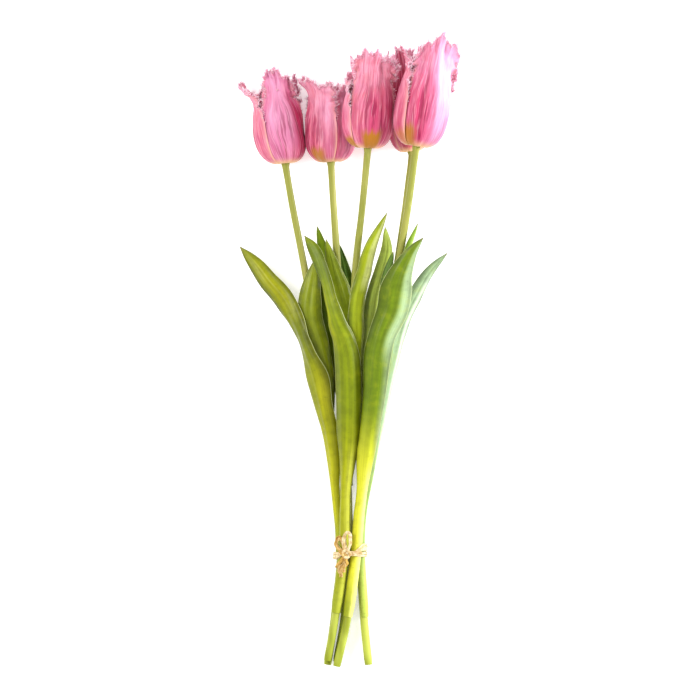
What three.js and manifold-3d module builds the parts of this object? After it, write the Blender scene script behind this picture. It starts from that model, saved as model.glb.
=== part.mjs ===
// A hand-tied bunch of five fringed tulips lying on a flat surface, in millimetres.
// +Y runs along the stems towards the blooms, +Z is up, and the surface is Z = 0.
// Each tulip has a stem, a bloom of three outer and three inner petals that are one at their feet and fringed
// round their margins, a heart (pistil and stamens) inside it, and two or three channelled leaves whose bases
// sheathe the stem. One raffia tie holds the bunch.

import * as THREE from "three";
import { mergeVertices } from "three/addons/utils/BufferGeometryUtils.js";
import Module from "manifold-3d";

// Driving dimensions.
const PETAL_THICKNESS = 0.7;
const LEAF_THICKNESS = 0.7;
const WHORL_GAP = 2.45; // from the middle of an inner petal to the middle of an outer one
const PETAL_LAP = 0.75; // how far one edge of a petal rides out, and the other in, so that neighbours lap
const STEM_RADIUS_CUT = 2.8;
const STEM_RADIUS_TOP = 2.4;
const SHEATH_RADIUS = 3.7; // from the stem's axis to the middle of the sheath's wall
const LEAF_RIPPLE = 0.5; // how far a leaf's margins wave to either side
const SHEATH_WRAP = 230; // degrees of the stem that a leaf's base goes round
const FRINGE_LENGTH = 3.8;
const FRINGE_FROM = 0.56; // share of the petal's length where the fringe starts
const STRAND_RADIUS = 0.6;
const SEAT_GAP = 0.35; // clearance that pieces keep where they bear on each other

const wasm = await Module();
wasm.setup();

// ---- Small tools -------------------------------------------------------------------------------

// Repeatable random numbers from 0 to 1.
function seeded(seed) {
  let state = seed;
  return () => {
    state = (state * 1664525 + 1013904223) % 4294967296;
    return state / 4294967296;
  };
}

const v3 = (x, y, z) => new THREE.Vector3(x, y, z);
const smooth = (from, to, x) => THREE.MathUtils.smoothstep(x, from, to);

// A smooth function through [position, value] pairs.
function profile(pairs) {
  const at = pairs.map(([position]) => position);
  return (x) => {
    let k = 0;
    while (k < at.length - 2 && x > at[k + 1]) k += 1;
    const before = pairs[Math.max(k - 1, 0)];
    const start = pairs[k];
    const end = pairs[k + 1];
    const after = pairs[Math.min(k + 2, pairs.length - 1)];
    const span = end[0] - start[0];
    const t = (x - start[0]) / span;
    const slopeIn = (end[1] - before[1]) / (end[0] - before[0]);
    const slopeOut = (after[1] - start[1]) / (after[0] - start[0]);
    if (t > 1) return end[1] + slopeOut * (x - end[0]);
    const t2 = t * t;
    const t3 = t2 * t;
    return (
      (2 * t3 - 3 * t2 + 1) * start[1] +
      (t3 - 2 * t2 + t) * span * slopeIn +
      (3 * t2 - 2 * t3) * end[1] +
      (t3 - t2) * span * slopeOut
    );
  };
}

const curveThrough = (points) =>
  new THREE.CatmullRomCurve3(
    points.map((p) => v3(...p)),
    false,
    "catmullrom",
    0.5,
  );

function indexed(positions, triangles) {
  const geometry = new THREE.BufferGeometry();
  geometry.setAttribute("position", new THREE.Float32BufferAttribute(positions, 3));
  geometry.setIndex(triangles);
  return geometry;
}

// A closed solid from rings of points that all run the same way round, with flat ends.
function loft(rings) {
  const sides = rings[0].length;
  const positions = rings.flat().flatMap((p) => p.toArray());
  const triangles = [];
  for (let i = 0; i < rings.length - 1; i += 1) {
    for (let j = 0; j < sides; j += 1) {
      const a = i * sides + j;
      const b = i * sides + ((j + 1) % sides);
      triangles.push(a, b, b + sides, a, b + sides, a + sides);
    }
  }
  const last = (rings.length - 1) * sides;
  for (let j = 1; j < sides - 1; j += 1) {
    triangles.push(0, j + 1, j);
    triangles.push(last, last + j, last + j + 1);
  }
  return indexed(positions, triangles);
}

// The rings of a round bar of changing radius along a path. One corner of each keeps towards `up`.
function barRings(path, steps, sides, radiusAt, up = v3(0, 0, 1)) {
  const rings = [];
  for (let i = 0; i <= steps; i += 1) {
    const t = i / steps;
    const centre = path.getPoint(t);
    const along = path.getTangent(t);
    const across = new THREE.Vector3().crossVectors(along, up).normalize();
    const out = new THREE.Vector3().crossVectors(across, along);
    const ring = [];
    for (let j = 0; j < sides; j += 1) {
      const angle = (2 * Math.PI * j) / sides;
      ring.push(
        centre
          .clone()
          .addScaledVector(across, radiusAt(t) * Math.sin(angle))
          .addScaledVector(out, radiusAt(t) * Math.cos(angle)),
      );
    }
    rings.push(ring);
  }
  return rings;
}

function toSolid(geometry) {
  const bare = geometry.clone();
  bare.deleteAttribute("normal");
  bare.deleteAttribute("uv");
  const merged = mergeVertices(bare, 1e-4);
  return new wasm.Manifold(
    new wasm.Mesh({
      numProp: 3,
      vertProperties: merged.attributes.position.array,
      triVerts: new Uint32Array(merged.index.array),
    }),
  );
}

function toGeometry(solid) {
  const mesh = solid.getMesh();
  return indexed([...mesh.vertProperties], [...mesh.triVerts]);
}

const fused = (geometries) =>
  toGeometry(geometries.map(toSolid).reduce((whole, piece) => whole.add(piece)));

// ---- Thin curved blades ------------------------------------------------------------------------

// A blade of even thickness over `surface(u, v)`, which gives a point for u from -1 to 1 across and v from 0
// to 1 along. Both faces are split alike. Where `fringe` is given, the margin past its start carries teeth,
// which the surface under the bunch bends flat.
function blade(surface, us, vs, thickness, fringe) {
  const positions = [];
  const triangles = [];
  const normals = [];
  const step = 1e-3;

  // Adds the front and back vertices over (u, v), and returns the front one's index.
  function corner(u, v) {
    const side = surface(Math.min(u + step, 1), v).sub(surface(Math.max(u - step, -1), v));
    const along = surface(u, Math.min(v + step, 1)).sub(surface(u, Math.max(v - step, 0)));
    const normal = side.cross(along).normalize();
    const middle = surface(u, v);
    const front = middle.clone().addScaledVector(normal, thickness / 2);
    const back = middle.clone().addScaledVector(normal, -thickness / 2);
    positions.push(...front.toArray(), ...back.toArray());
    normals.push(normal);
    return positions.length / 3 - 2;
  }

  const pointAt = (index) => v3(...positions.slice(index * 3, index * 3 + 3));
  const grid = vs.map((v) => us.map((u) => corner(u, v)));
  const columns = us.length - 1;
  const rows = vs.length - 1;
  const fringed = (v) => fringe && v >= fringe.from;

  // The extra vertices on one edge of the margin, between the teeth.
  function between(u0, v0, u1, v1, wanted) {
    const found = [];
    for (let k = 1; wanted && k < fringe.split; k += 1) {
      const t = k / fringe.split;
      found.push(corner(u0 + (u1 - u0) * t, v0 + (v1 - v0) * t));
    }
    return found;
  }

  const outline = { bottom: [], right: [], top: [], left: [] };
  for (let i = 0; i < rows; i += 1) {
    const toothed = fringed(vs[i]);
    for (let j = 0; j < columns; j += 1) {
      const [u0, u1, w0, w1] = [us[j], us[j + 1], vs[i], vs[i + 1]];
      const right = between(u1, w0, u1, w1, toothed && j === columns - 1);
      const top = between(u1, w1, u0, w1, toothed && i === rows - 1);
      const left = between(u0, w1, u0, w0, toothed && j === 0);
      const [a, b, c, d] = [grid[i][j], grid[i][j + 1], grid[i + 1][j + 1], grid[i + 1][j]];
      const loop = [a, b, ...right, c, ...top, d, ...left];
      const fan = j === 0 ? [...loop.slice(1), a] : loop;
      for (let k = 1; k < fan.length - 1; k += 1) {
        triangles.push(fan[0], fan[k], fan[k + 1]);
        triangles.push(fan[0] + 1, fan[k + 1] + 1, fan[k] + 1);
      }
      if (i === 0) outline.bottom.push([[a, b], false]);
      if (j === columns - 1) outline.right.push([[b, ...right, c], toothed]);
      if (i === rows - 1) outline.top.push([[c, ...top, d], toothed]);
      if (j === 0) outline.left.push([[d, ...left, a], toothed]);
    }
  }

  // The rim: a flat wall between the faces, or a row of teeth that each end in a point.
  let count = 0;
  for (const [side, stretches] of Object.entries(outline)) {
    for (const [chain, toothed] of stretches) {
      for (let k = 0; k < chain.length - 1; k += 1) {
        const [p, q] = [chain[k], chain[k + 1]];
        if (!toothed) {
          triangles.push(p, p + 1, q + 1, p, q + 1, q);
          continue;
        }
        const [start, end] = [pointAt(p), pointAt(q)];
        const normal = normals[p / 2].clone().add(normals[q / 2]).normalize();
        const edge = end.clone().sub(start).normalize();
        const out = edge.clone().cross(normal);
        const tip = pointAt(p)
          .add(end)
          .add(pointAt(p + 1))
          .add(pointAt(q + 1))
          .multiplyScalar(0.25);
        const { reach, lean, curl } = fringe.tooth(side, count);
        tip.addScaledVector(out, reach * Math.cos(curl));
        tip.addScaledVector(normal, reach * Math.sin(curl));
        tip.addScaledVector(edge, reach * lean);
        tip.z = Math.max(tip.z, 0);
        positions.push(...tip.toArray(), ...tip.toArray());
        normals.push(normal);
        const apex = positions.length / 3 - 2;
        triangles.push(q, p, apex, p + 1, q + 1, apex, p, p + 1, apex, q + 1, q, apex);
        count += 1;
      }
    }
  }
  return indexed(positions, triangles);
}

// ---- Stems -------------------------------------------------------------------------------------

// Each stem's axis from its cut end to the foot of its bloom. The tie is at Y = -143.
const TIE_Y = -143;
const STEMS = [
  [
    [-16, -224, 3.1],
    [-11, -190, 4.2],
    [-6.5, TIE_Y, 6.2],
    [-8.5, -110, 7.2],
    [-14.5, -60, 9.5],
    [-22, 0, 12.5],
    [-32.7, 60, 16.5],
    [-40.5, 100, 17.6],
    [-45.6, 129, 17.6],
  ],
  [
    [-9.4, -222, 3.0],
    [-4, -190, 3.6],
    [-0.4, TIE_Y, 4.6],
    [-1, -110, 5.8],
    [-2.6, -60, 8.2],
    [-5, 0, 11.5],
    [-8.9, 60, 15.6],
    [-11.6, 100, 18.2],
    [-13.4, 130, 19.5],
  ],
  [
    [-16, -221, 9.6],
    [-10.4, -190, 11.4],
    [-4.4, TIE_Y, 14.2],
    [-3.4, -110, 16.2],
    [-1.6, -60, 21.2],
    [0.6, 0, 28],
    [4.2, 60, 34.6],
    [8.6, 100, 39],
    [12.4, 139.4, 42],
  ],
  [
    [-9.4, -225, 9.4],
    [-1.7, -190, 11.8],
    [4.3, TIE_Y, 14.4],
    [7.2, -110, 17.2],
    [14.4, -60, 24.6],
    [24, 0, 34.5],
    [34.2, 60, 44],
    [40.9, 100, 49.6],
    [46.4, 140.4, 53],
  ],
  [
    [13.2, -224, 3.1],
    [9.8, -190, 4.6],
    [6.9, TIE_Y, 6.1],
    [9, -110, 7.0],
    [15.5, -60, 9.4],
    [24, 0, 12.4],
    [33.4, 60, 15.2],
    [39.2, 100, 15.4],
    [44, 137.6, 15],
  ],
].map(curveThrough);

const STEM_STEPS = 13;
const STEM_SIDES = 8;

// The point on a stem's axis at a given Y.
function stemAt(stem, y) {
  let [low, high] = [0, 1];
  for (let k = 0; k < 30; k += 1) {
    const middle = (low + high) / 2;
    if (stem.getPoint(middle).y < y) low = middle;
    else high = middle;
  }
  return stem.getPoint(low);
}

// The receptacle under the petals, as [distance above the bloom's foot, radius].
const RECEPTACLE = [
  [-4.2, 2.5],
  [-1.9, 2.9],
  [-1.0, 2.9],
  [-0.85, 2.0],
];

function stemGeometry(stem, bloom) {
  const radiusAt = (t) => STEM_RADIUS_CUT + (STEM_RADIUS_TOP - STEM_RADIUS_CUT) * t;
  const shaft = barRings(stem, STEM_STEPS, STEM_SIDES, radiusAt);
  const dome = RECEPTACLE.map(([height, radius]) => bloom.ring(radius, height, STEM_SIDES));
  return loft([...shaft, ...dome]);
}

// ---- Blooms ------------------------------------------------------------------------------------

// The inner petals' middle surface from foot to rim: how far it has opened out from the foot ring to the
// bloom's full width, and its share of the bloom's height.
const CUP_RADIUS = [
  [0, 0],
  [0.05, 0.31],
  [0.11, 0.61],
  [0.18, 0.83],
  [0.28, 0.98],
  [0.4, 1.0],
  [0.54, 0.885],
  [0.68, 0.69],
  [0.8, 0.58],
  [0.9, 0.545],
  [1, 0.57],
];
const CUP_HEIGHT = [
  [0, 0.02],
  [0.05, 0.005],
  [0.11, 0.035],
  [0.18, 0.1],
  [0.28, 0.21],
  [0.4, 0.35],
  [0.54, 0.51],
  [0.68, 0.66],
  [0.8, 0.79],
  [0.9, 0.89],
  [1, 0.98],
];
const FOOT_RADIUS = 2.6; // of the inner petals' foot ring, on every bloom

// Half the angle that a petal covers, in degrees.
const PETAL_REACH = profile([
  [0, 46],
  [0.1, 47],
  [0.22, 56],
  [0.4, 64],
  [0.55, 63],
  [0.66, 56],
  [0.78, 47],
  [0.9, 40],
  [1, 32],
]);
const cupRadius = profile(CUP_RADIUS);
const cupHeight = profile(CUP_HEIGHT);

const PETAL_US = [-1, -0.6, -0.2, 0.2, 0.6, 1];
const PETAL_VS = [0, 0.06, 0.14, 0.27, 0.42, 0.57, 0.71, 0.85, 1];
const RESTING_US = [-1, -0.6, -0.1, 0.405, 0.8, 1]; // one facet of this petal lies flat on the surface
const HIDDEN_US = [-1, -0.4, 0.4, 1]; // of inner petals that the outer ones or the next bloom hide
const FOOT_GAP = 1.35; // from an inner petal's foot to an outer one's
const SOFTNESS = 1.2; // how gradually a petal turns from its own curve onto what presses it

// The fleshy base that all six petals grow from, as [distance above the bloom's foot, radius].
const BASE = [
  [-0.5, 2.6],
  [1.9, 3.2],
];

const softMin = (a, b) => {
  const share = THREE.MathUtils.clamp(0.5 + (0.5 * (b - a)) / SOFTNESS, 0, 1);
  return THREE.MathUtils.lerp(b, a, share) - SOFTNESS * share * (1 - share);
};

class Bloom {
  // `turn` leans the axis from +Y towards +X and `rise` lifts it, in degrees. `bow` is how far its middle
  // is bent towards +X. `pressed` lists [way, distance]: what the bloom lies against, the way it is from
  // the axis in degrees and how far off. `opens` lists [way, millimetres] that the rim spreads.
  constructor(stem, { radius, height, turn, rise, bow, pressed, opens, seed }) {
    Object.assign(this, { radius, height, bow, pressed, opens });
    const yaw = THREE.MathUtils.degToRad(turn);
    const pitch = THREE.MathUtils.degToRad(rise);
    this.axis = v3(
      Math.sin(yaw) * Math.cos(pitch),
      Math.cos(yaw) * Math.cos(pitch),
      Math.sin(pitch),
    );
    this.right = new THREE.Vector3().crossVectors(this.axis, v3(0, 0, 1)).normalize();
    this.up = new THREE.Vector3().crossVectors(this.right, this.axis);
    this.foot = stem.getPoint(1).clone().addScaledVector(this.axis, 5);
    this.random = seeded(seed);
  }

  // A point at a radius, an angle in degrees (0 faces up, 90 faces +X) and a height along the axis.
  place(radius, way, height) {
    const angle = THREE.MathUtils.degToRad(way);
    const aside = this.bow * Math.sin((Math.PI * Math.max(height, 0)) / this.height);
    return this.foot
      .clone()
      .addScaledVector(this.axis, height)
      .addScaledVector(this.up, radius * Math.cos(angle))
      .addScaledVector(this.right, radius * Math.sin(angle) + aside);
  }

  ring(radius, height, sides) {
    const found = [];
    for (let j = 0; j < sides; j += 1) found.push(this.place(radius, (360 * j) / sides, height));
    return found;
  }

  // How far the rim spreads in a direction.
  spread(way) {
    return this.opens.reduce((sum, [centre, amount]) => {
      const off = THREE.MathUtils.degToRad(way - centre);
      return sum + amount * Math.exp(3 * (Math.cos(off) - 1));
    }, 0);
  }

  // The cup that the inner petals lie in: [radius, height] at a share of the way from foot to rim.
  cup(share, way) {
    const inside = this.radius - WHORL_GAP - PETAL_THICKNESS / 2;
    let radius = THREE.MathUtils.lerp(FOOT_RADIUS, inside, cupRadius(share));
    for (const [centre, distance] of this.pressed) {
      const facing = Math.cos(THREE.MathUtils.degToRad(way - centre));
      const clear = distance - WHORL_GAP - PETAL_THICKNESS / 2;
      if (facing > 0.3) radius = softMin(radius, clear / facing);
    }
    radius += this.spread(way) * smooth(0.6, 1.05, share);
    return [radius, this.height * cupHeight(share)];
  }

  // The middle surface of one petal.
  petalSurface({ outer, way, length, flare, lean, tipWidth }) {
    return (u, v) => {
      const along = v * (1 - 0.1 * u * u * smooth(0.5, 1, v));
      const share = length * along;
      const narrowed = THREE.MathUtils.lerp(1, tipWidth, smooth(0.5, 0.8, along));
      const angle = way + lean * along * along + u * PETAL_REACH(along) * narrowed;
      const open = smooth(0, 0.25, share);
      const gap = outer ? THREE.MathUtils.lerp(FOOT_GAP, WHORL_GAP, open) : 0;
      const offset = gap + PETAL_LAP * u * open;
      const [radius, height] = this.cup(share, angle);
      const [radiusOn, heightOn] = this.cup(share + 0.01, angle);
      const run = Math.hypot(radiusOn - radius, heightOn - height);
      const tip = flare * smooth(0.6, 1.05, along);
      const point = this.place(
        radius + (offset * (heightOn - height)) / run + tip,
        angle,
        height - (offset * (radiusOn - radius)) / run - 0.25 * tip,
      );
      point.z = Math.max(point.z, PETAL_THICKNESS / 2);
      return point;
    };
  }

  petalGeometry(petal) {
    const curl = petal.outer ? 0.5 : -0.25;
    const fringe = {
      from: FRINGE_FROM,
      split: petal.teeth,
      tooth: (side) => ({
        reach: FRINGE_LENGTH * (0.7 + 0.5 * this.random()),
        lean: side === "top" ? 0 : { left: -0.35, right: 0.35 }[side],
        curl: side === "left" ? 0 : curl * this.random(),
      }),
    };
    return blade(this.petalSurface(petal), petal.columns, PETAL_VS, PETAL_THICKNESS, fringe);
  }

  // Both whorls of petals, fused to the base they grow from. Where a petal faces down or away behind its
  // neighbour bloom, its fringe is wider spaced.
  geometry(whorls) {
    const base = loft(BASE.map(([height, radius]) => this.ring(radius, height, 6)));
    const petals = ["outer", "inner"].flatMap((whorl) =>
      whorls[whorl].map(([way, length, flare, lean, tipWidth, columns = PETAL_US]) => {
        const teeth = Math.abs(way) > 100 ? 2 : 3;
        const outer = whorl === "outer";
        return this.petalGeometry({ outer, way, length, flare, lean, tipWidth, columns, teeth });
      }),
    );
    return fused([base, ...petals]);
  }

  // The pistil with its three-lobed stigma, and six stamens round it.
  heartGeometry() {
    const pistil = loft(
      [
        [2.5, 1.7],
        [9, 2.5],
        [15, 2.0],
        [17, 2.9],
        [19, 1.6],
      ].map(([height, radius]) => this.ring(radius, height, 6)),
    );
    const stamens = [30, 90, 150, 210, 270, 330].map((way) => {
      const along = curveThrough(
        [
          [0.9, 3.8],
          [4.4, 9],
          [5.8, 20],
        ].map(([radius, height]) => this.place(radius, way, height).toArray()),
      );
      return loft(barRings(along, 2, 3, (t) => (t > 0.9 ? 1.2 : 0.7)));
    });
    return fused([pistil, ...stamens]);
  }
}

// Blooms 1 and 5 rest on the surface. Blooms 1 and 2 press on each other, and so do blooms 3 and 4.
// Each petal is [way it faces, share of the bloom's height, flare of its tip, lean of its tip, tip width]:
// the way and the lean are in degrees, the flare in millimetres and the tip width a share of the usual. A
// sixth entry gives the petal its own columns.
const BLOOMS = [
  {
    radius: 18.4,
    height: 67,
    turn: -5,
    rise: 0,
    bow: -2.5,
    pressed: [
      [180, 17.6],
      [86, 16.2],
    ],
    opens: [
      [95, 5],
      [20, 2],
    ],
    seed: 11,
    outer: [
      [22, 1.0, 0, -26, 0.75],
      [-98, 0.9, 11, 0, 0.8],
      [142, 0.84, 1, 0, 1, RESTING_US],
    ],
    inner: [
      [-38, 0.86, 0, 0, 0.9],
      [82, 0.88, 0, 0, 1],
      [202, 0.9, 0, 0, 1, HIDDEN_US],
    ],
  },
  {
    radius: 18.2,
    height: 61,
    turn: -3,
    rise: 0,
    bow: 0.5,
    pressed: [[-94, 16.2]],
    opens: [
      [-45, 7],
      [75, 4],
    ],
    seed: 23,
    outer: [
      [14, 0.88, 0, 0, 1.1],
      [-106, 0.74, 0, 0, 1],
      [134, 0.86, 2, 0, 1],
    ],
    inner: [
      [-46, 1.0, 0, -6, 1.1],
      [74, 0.93, 0, 0, 1],
      [194, 0.9, 0, 0, 1, HIDDEN_US],
    ],
  },
  {
    radius: 18.9,
    height: 69,
    turn: 3,
    rise: 2,
    bow: 0,
    pressed: [[74, 18]],
    opens: [
      [-75, 8],
      [100, 3],
    ],
    seed: 37,
    outer: [
      [8, 1.0, 0, 4, 1],
      [-112, 0.74, 0, 0, 1],
      [128, 0.9, 3, 0, 1],
    ],
    inner: [
      [-52, 0.88, 0, -24, 0.8],
      [68, 0.94, 0, 0, 1],
      [188, 0.9, 0, 0, 1, HIDDEN_US],
    ],
  },
  {
    radius: 19.8,
    height: 80,
    turn: 9,
    rise: 1,
    bow: 0.5,
    pressed: [[-106, 18.9]],
    opens: [
      [95, 8],
      [-40, 1],
    ],
    seed: 41,
    outer: [
      [18, 1.0, 0, 4, 1.15],
      [-102, 0.82, 0, 0, 1],
      [138, 0.74, 2, 0, 1],
    ],
    inner: [
      [-42, 0.86, 0, 0, 1],
      [78, 0.9, 0, 0, 1.1],
      [198, 0.82, 0, 0, 1, HIDDEN_US],
    ],
  },
  {
    radius: 15.6,
    height: 74,
    turn: -6,
    rise: 0,
    bow: 0,
    pressed: [[180, 15]],
    opens: [[-40, 1]],
    seed: 53,
    outer: [
      [8, 1.0, 0, -10, 0.7],
      [128, 0.86, 1, 0, 1],
      [-112, 0.9, 1, 0, 1],
    ],
    inner: [
      [68, 0.86, 0, 0, 1, HIDDEN_US],
      [188, 0.88, 0, 0, 1, HIDDEN_US],
      [-52, 0.86, 0, 0, 1, HIDDEN_US],
    ],
  },
];

// ---- Leaves ------------------------------------------------------------------------------------

// Every station of a blade is [x, y, z, side, width, curl]: a point of the midrib, the way the leaf's back
// faces there in degrees from +X towards +Z, the width round the curved section, and that curve's arc in
// degrees. Below the first station the leaf sheathes its stem from `node` to `opens`, with its back facing
// `side`. The last station is the tip.
const LEAF_US = [-1, -0.5, 0, 0.5, 1];
const LEAVES = [
  {
    name: "leaf_1_left",
    stem: 1,
    node: -112,
    opens: -96,
    side: 165,
    wave: 0.2,
    blade: [
      [-16.6, -80, 10.4, 160, 18.5, 210],
      [-20.1, -61, 12.8, 150, 20.5, 180],
      [-24.2, -40, 16.7, 140, 23, 140],
      [-27.4, -20, 18.8, 132, 25, 112],
      [-33, 0, 20.5, 155, 21, 95],
      [-38, 14, 21, 150, 19, 90],
      [-47.2, 34.5, 19.5, 118, 17, 80],
      [-59, 49.5, 16.5, 106, 15, 75],
      [-68, 61.5, 13, 100, 11, 70],
      [-78.6, 73.8, 9, 95, 1.6, 60],
    ],
  },
  {
    name: "leaf_1_front",
    stem: 1,
    node: -68,
    opens: -58,
    side: 80,
    wave: 0.6,
    blade: [
      [-15.9, -40, 16.6, 80, 15.5, 150],
      [-16.9, -20, 18.2, 76, 14, 80],
      [-22, 2.5, 20.2, 85, 17, 90],
      [-27.9, 22.5, 21.6, 90, 18.5, 80],
      [-28.6, 36, 22.2, 92, 17.5, 75],
      [-27, 50, 22, 92, 12, 70],
      [-24.4, 65, 21, 90, 1.6, 60],
    ],
  },
  {
    name: "leaf_2_front",
    stem: 2,
    node: -97,
    opens: -89,
    side: 80,
    wave: 0.1,
    blade: [
      [-1.1, -76, 12.7, 80, 17.5, 190],
      [-1.6, -58, 15.2, 80, 16, 130],
      [-2.4, -30, 17.8, 82, 15, 100],
      [-1.2, 0, 19.2, 86, 17.5, 90],
      [-3.6, 25, 20.6, 90, 18, 80],
      [-7.1, 41, 21.6, 90, 17, 75],
      [-11.8, 57, 22.2, 90, 12, 70],
      [-17, 78.8, 23, 90, 1.6, 60],
    ],
  },
  {
    name: "leaf_2_right",
    stem: 2,
    node: -74,
    opens: -66,
    side: 320,
    wave: 0.8,
    blade: [
      [0.3, -45, 4.2, 305, 13.6, 130],
      [3, -8, 4.4, 285, 14, 90],
      [2.6, 20, 5.8, 272, 14, 75],
      [-1, 42.6, 7.6, 270, 12, 70],
      [-4.6, 60, 10, 268, 8, 65],
      [-7.8, 75.3, 12.5, 265, 1.6, 60],
    ],
  },
  {
    name: "leaf_2_left",
    stem: 2,
    node: -52,
    opens: -45,
    side: 215,
    wave: 0.4,
    blade: [
      [-8.4, -28, 6.4, 235, 13.5, 120],
      [-11, -4, 6.6, 255, 15, 90],
      [-12.8, 22, 7.6, 268, 16, 75],
      [-14.6, 46, 9.4, 270, 15, 70],
      [-18.4, 67, 12, 270, 10, 65],
      [-23.4, 88, 16, 270, 1.6, 60],
    ],
  },
  {
    name: "leaf_3_front",
    stem: 3,
    node: -187,
    opens: -100,
    side: 105,
    wave: 0.3,
    blade: [
      [-2.9, -80, 24.6, 97, 17.5, 190],
      [-1.2, -62, 28, 93, 23, 150],
      [-0.8, -36, 32.4, 92, 24, 140],
      [-1.8, -10, 36.8, 93, 22, 118],
      [-4.6, 6, 39.6, 100, 18, 95],
      [-9.6, 18, 40.4, 112, 15, 85],
      [-13.6, 31, 40, 128, 12, 80],
      [-17.4, 46, 38, 132, 11, 75],
      [-21.6, 60, 35.5, 122, 11, 70],
      [-26.4, 72, 33, 105, 9, 65],
      [-32.4, 81.3, 31, 95, 1.6, 60],
    ],
  },
  {
    name: "leaf_3_right",
    stem: 3,
    node: -80,
    opens: -70,
    side: 50,
    wave: 0.7,
    blade: [
      [2.9, -36, 28.6, 52, 14, 130],
      [4, -10, 30.6, 60, 14, 90],
      [5, 8, 34, 66, 13.5, 80],
      [4.8, 26, 36.8, 74, 12.5, 75],
      [6.6, 41, 38.6, 75, 12, 70],
      [10.6, 56, 40.2, 74, 11, 70],
      [15, 73, 41.6, 72, 9.5, 65],
      [26.3, 97.3, 43, 80, 1.6, 60],
    ],
  },
  {
    name: "leaf_4_front",
    stem: 4,
    node: -190,
    opens: -100,
    side: 85,
    wave: 0.5,
    blade: [
      [11.2, -78, 27.4, 90, 17.5, 190],
      [12.6, -60, 31.8, 98, 20, 165],
      [16.6, -28, 38.2, 100, 21, 130],
      [18.4, -6, 41.4, 98, 23, 112],
      [22.6, 11, 44.2, 94, 22, 100],
      [29.8, 28, 47, 90, 25, 95],
      [32.6, 42, 49.6, 88, 25, 85],
      [36, 54, 51.8, 86, 18, 75],
      [43.4, 69, 54.2, 82, 9, 65],
      [51.8, 79.5, 56, 80, 1.6, 60],
    ],
  },
  {
    name: "leaf_4_right",
    stem: 4,
    node: -78,
    opens: -68,
    side: 345,
    wave: 0.2,
    blade: [
      [21.3, -48, 24.3, 338, 12, 116],
      [26.2, -20, 27.8, 336, 13, 88],
      [30.3, 4, 32.6, 344, 13, 85],
      [33.8, 28, 37.6, 368, 13, 88],
      [38, 50, 42.4, 378, 12, 90],
      [41.2, 68, 46, 384, 11, 75],
      [48, 89.6, 50, 400, 1.6, 60],
    ],
  },
  {
    name: "leaf_4_left",
    stem: 4,
    node: -52,
    opens: -42,
    side: 160,
    wave: 0.9,
    blade: [
      [15.2, -20, 33.4, 152, 12, 120],
      [18.6, 0, 38.2, 142, 11, 90],
      [22, 20, 42.2, 128, 11, 80],
      [24, 38, 44.8, 112, 10, 75],
      [26.4, 54, 46.6, 104, 7.5, 65],
      [30.6, 69.6, 47.8, 95, 1.6, 60],
    ],
  },
  {
    name: "leaf_5_left",
    stem: 5,
    node: -92,
    opens: -82,
    side: 120,
    wave: 0.4,
    blade: [
      [11.6, -57, 14, 115, 16, 150],
      [14, -21, 17.2, 105, 17, 110],
      [15.4, 7, 19.8, 100, 18, 90],
      [17.6, 34, 22.4, 97, 16, 80],
      [22.6, 56, 24.6, 95, 12, 75],
      [26, 72, 26.2, 92, 8.5, 70],
      [25, 87.3, 27.4, 90, 1.6, 60],
    ],
  },
  {
    name: "leaf_5_right",
    stem: 5,
    node: -190,
    opens: -112,
    side: 12,
    wave: 0.6,
    blade: [
      [16.9, -88, 9.6, 16, 17.5, 185],
      [21.6, -60, 11.6, 30, 18, 130],
      [27, -28, 15.4, 40, 18, 96],
      [31.6, -6, 18, 46, 17.5, 85],
      [37.6, 18, 20.4, 52, 15, 78],
      [46.6, 38, 22, 56, 12.5, 70],
      [57, 56, 22.6, 64, 8, 62],
      [69.2, 68.9, 22, 70, 1.6, 60],
    ],
  },
];

class Leaf {
  constructor({ stem, node, opens, side, wave, blade: stations }) {
    this.wave = wave;
    const angle = THREE.MathUtils.degToRad(side);
    const steps = Math.max(1, Math.round((opens - node) / 18));
    const wrapped = THREE.MathUtils.degToRad(SHEATH_WRAP) * SHEATH_RADIUS;
    const sheath = [];
    for (let k = 0; k <= steps; k += 1) {
      const { x, y, z } = stemAt(STEMS[stem - 1], node + ((opens - node) * k) / steps);
      const [out, up] = [SHEATH_RADIUS * Math.cos(angle), SHEATH_RADIUS * Math.sin(angle)];
      sheath.push([x + out, y, z + up, side, wrapped, SHEATH_WRAP]);
    }
    const all = [...sheath, ...stations];
    this.rows = Math.round(8 + all.length / 2);
    const listed = (column) => profile(all.map((row, k) => [k / (all.length - 1), row[column]]));
    this.curve = curveThrough(all.map((row) => row.slice(0, 3)));
    this.side = listed(3);
    this.width = listed(4);
    this.curl = listed(5);
  }

  // The blade's middle surface. Its margins wave gently to and fro.
  surface() {
    return (u, v) => {
      const point = this.curve.getPoint(v);
      const along = this.curve.getTangent(v);
      const angle = THREE.MathUtils.degToRad(this.side(v));
      const back = v3(Math.cos(angle), 0, Math.sin(angle));
      back.addScaledVector(along, -back.dot(along)).normalize();
      const across = new THREE.Vector3().crossVectors(along, back);
      const arc = THREE.MathUtils.degToRad(this.curl(v));
      const radius = this.width(v) / arc;
      const half = (u * arc) / 2;
      const open = smooth(0.35, 0.6, v) * (1 - smooth(0.8, 1, v));
      const ripple = LEAF_RIPPLE * u * u * open * Math.sin(2 * Math.PI * (3 * v + this.wave + 0.2 * u));
      return point
        .addScaledVector(back, -radius * (1 - Math.cos(half)) + ripple)
        .addScaledVector(across, radius * Math.sin(half));
    };
  }

  geometry() {
    const rows = [];
    for (let k = 0; k <= this.rows; k += 1) rows.push(k / this.rows);
    return blade(this.surface(), LEAF_US, rows, LEAF_THICKNESS);
  }
}

// ---- Raffia tie --------------------------------------------------------------------------------

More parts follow.
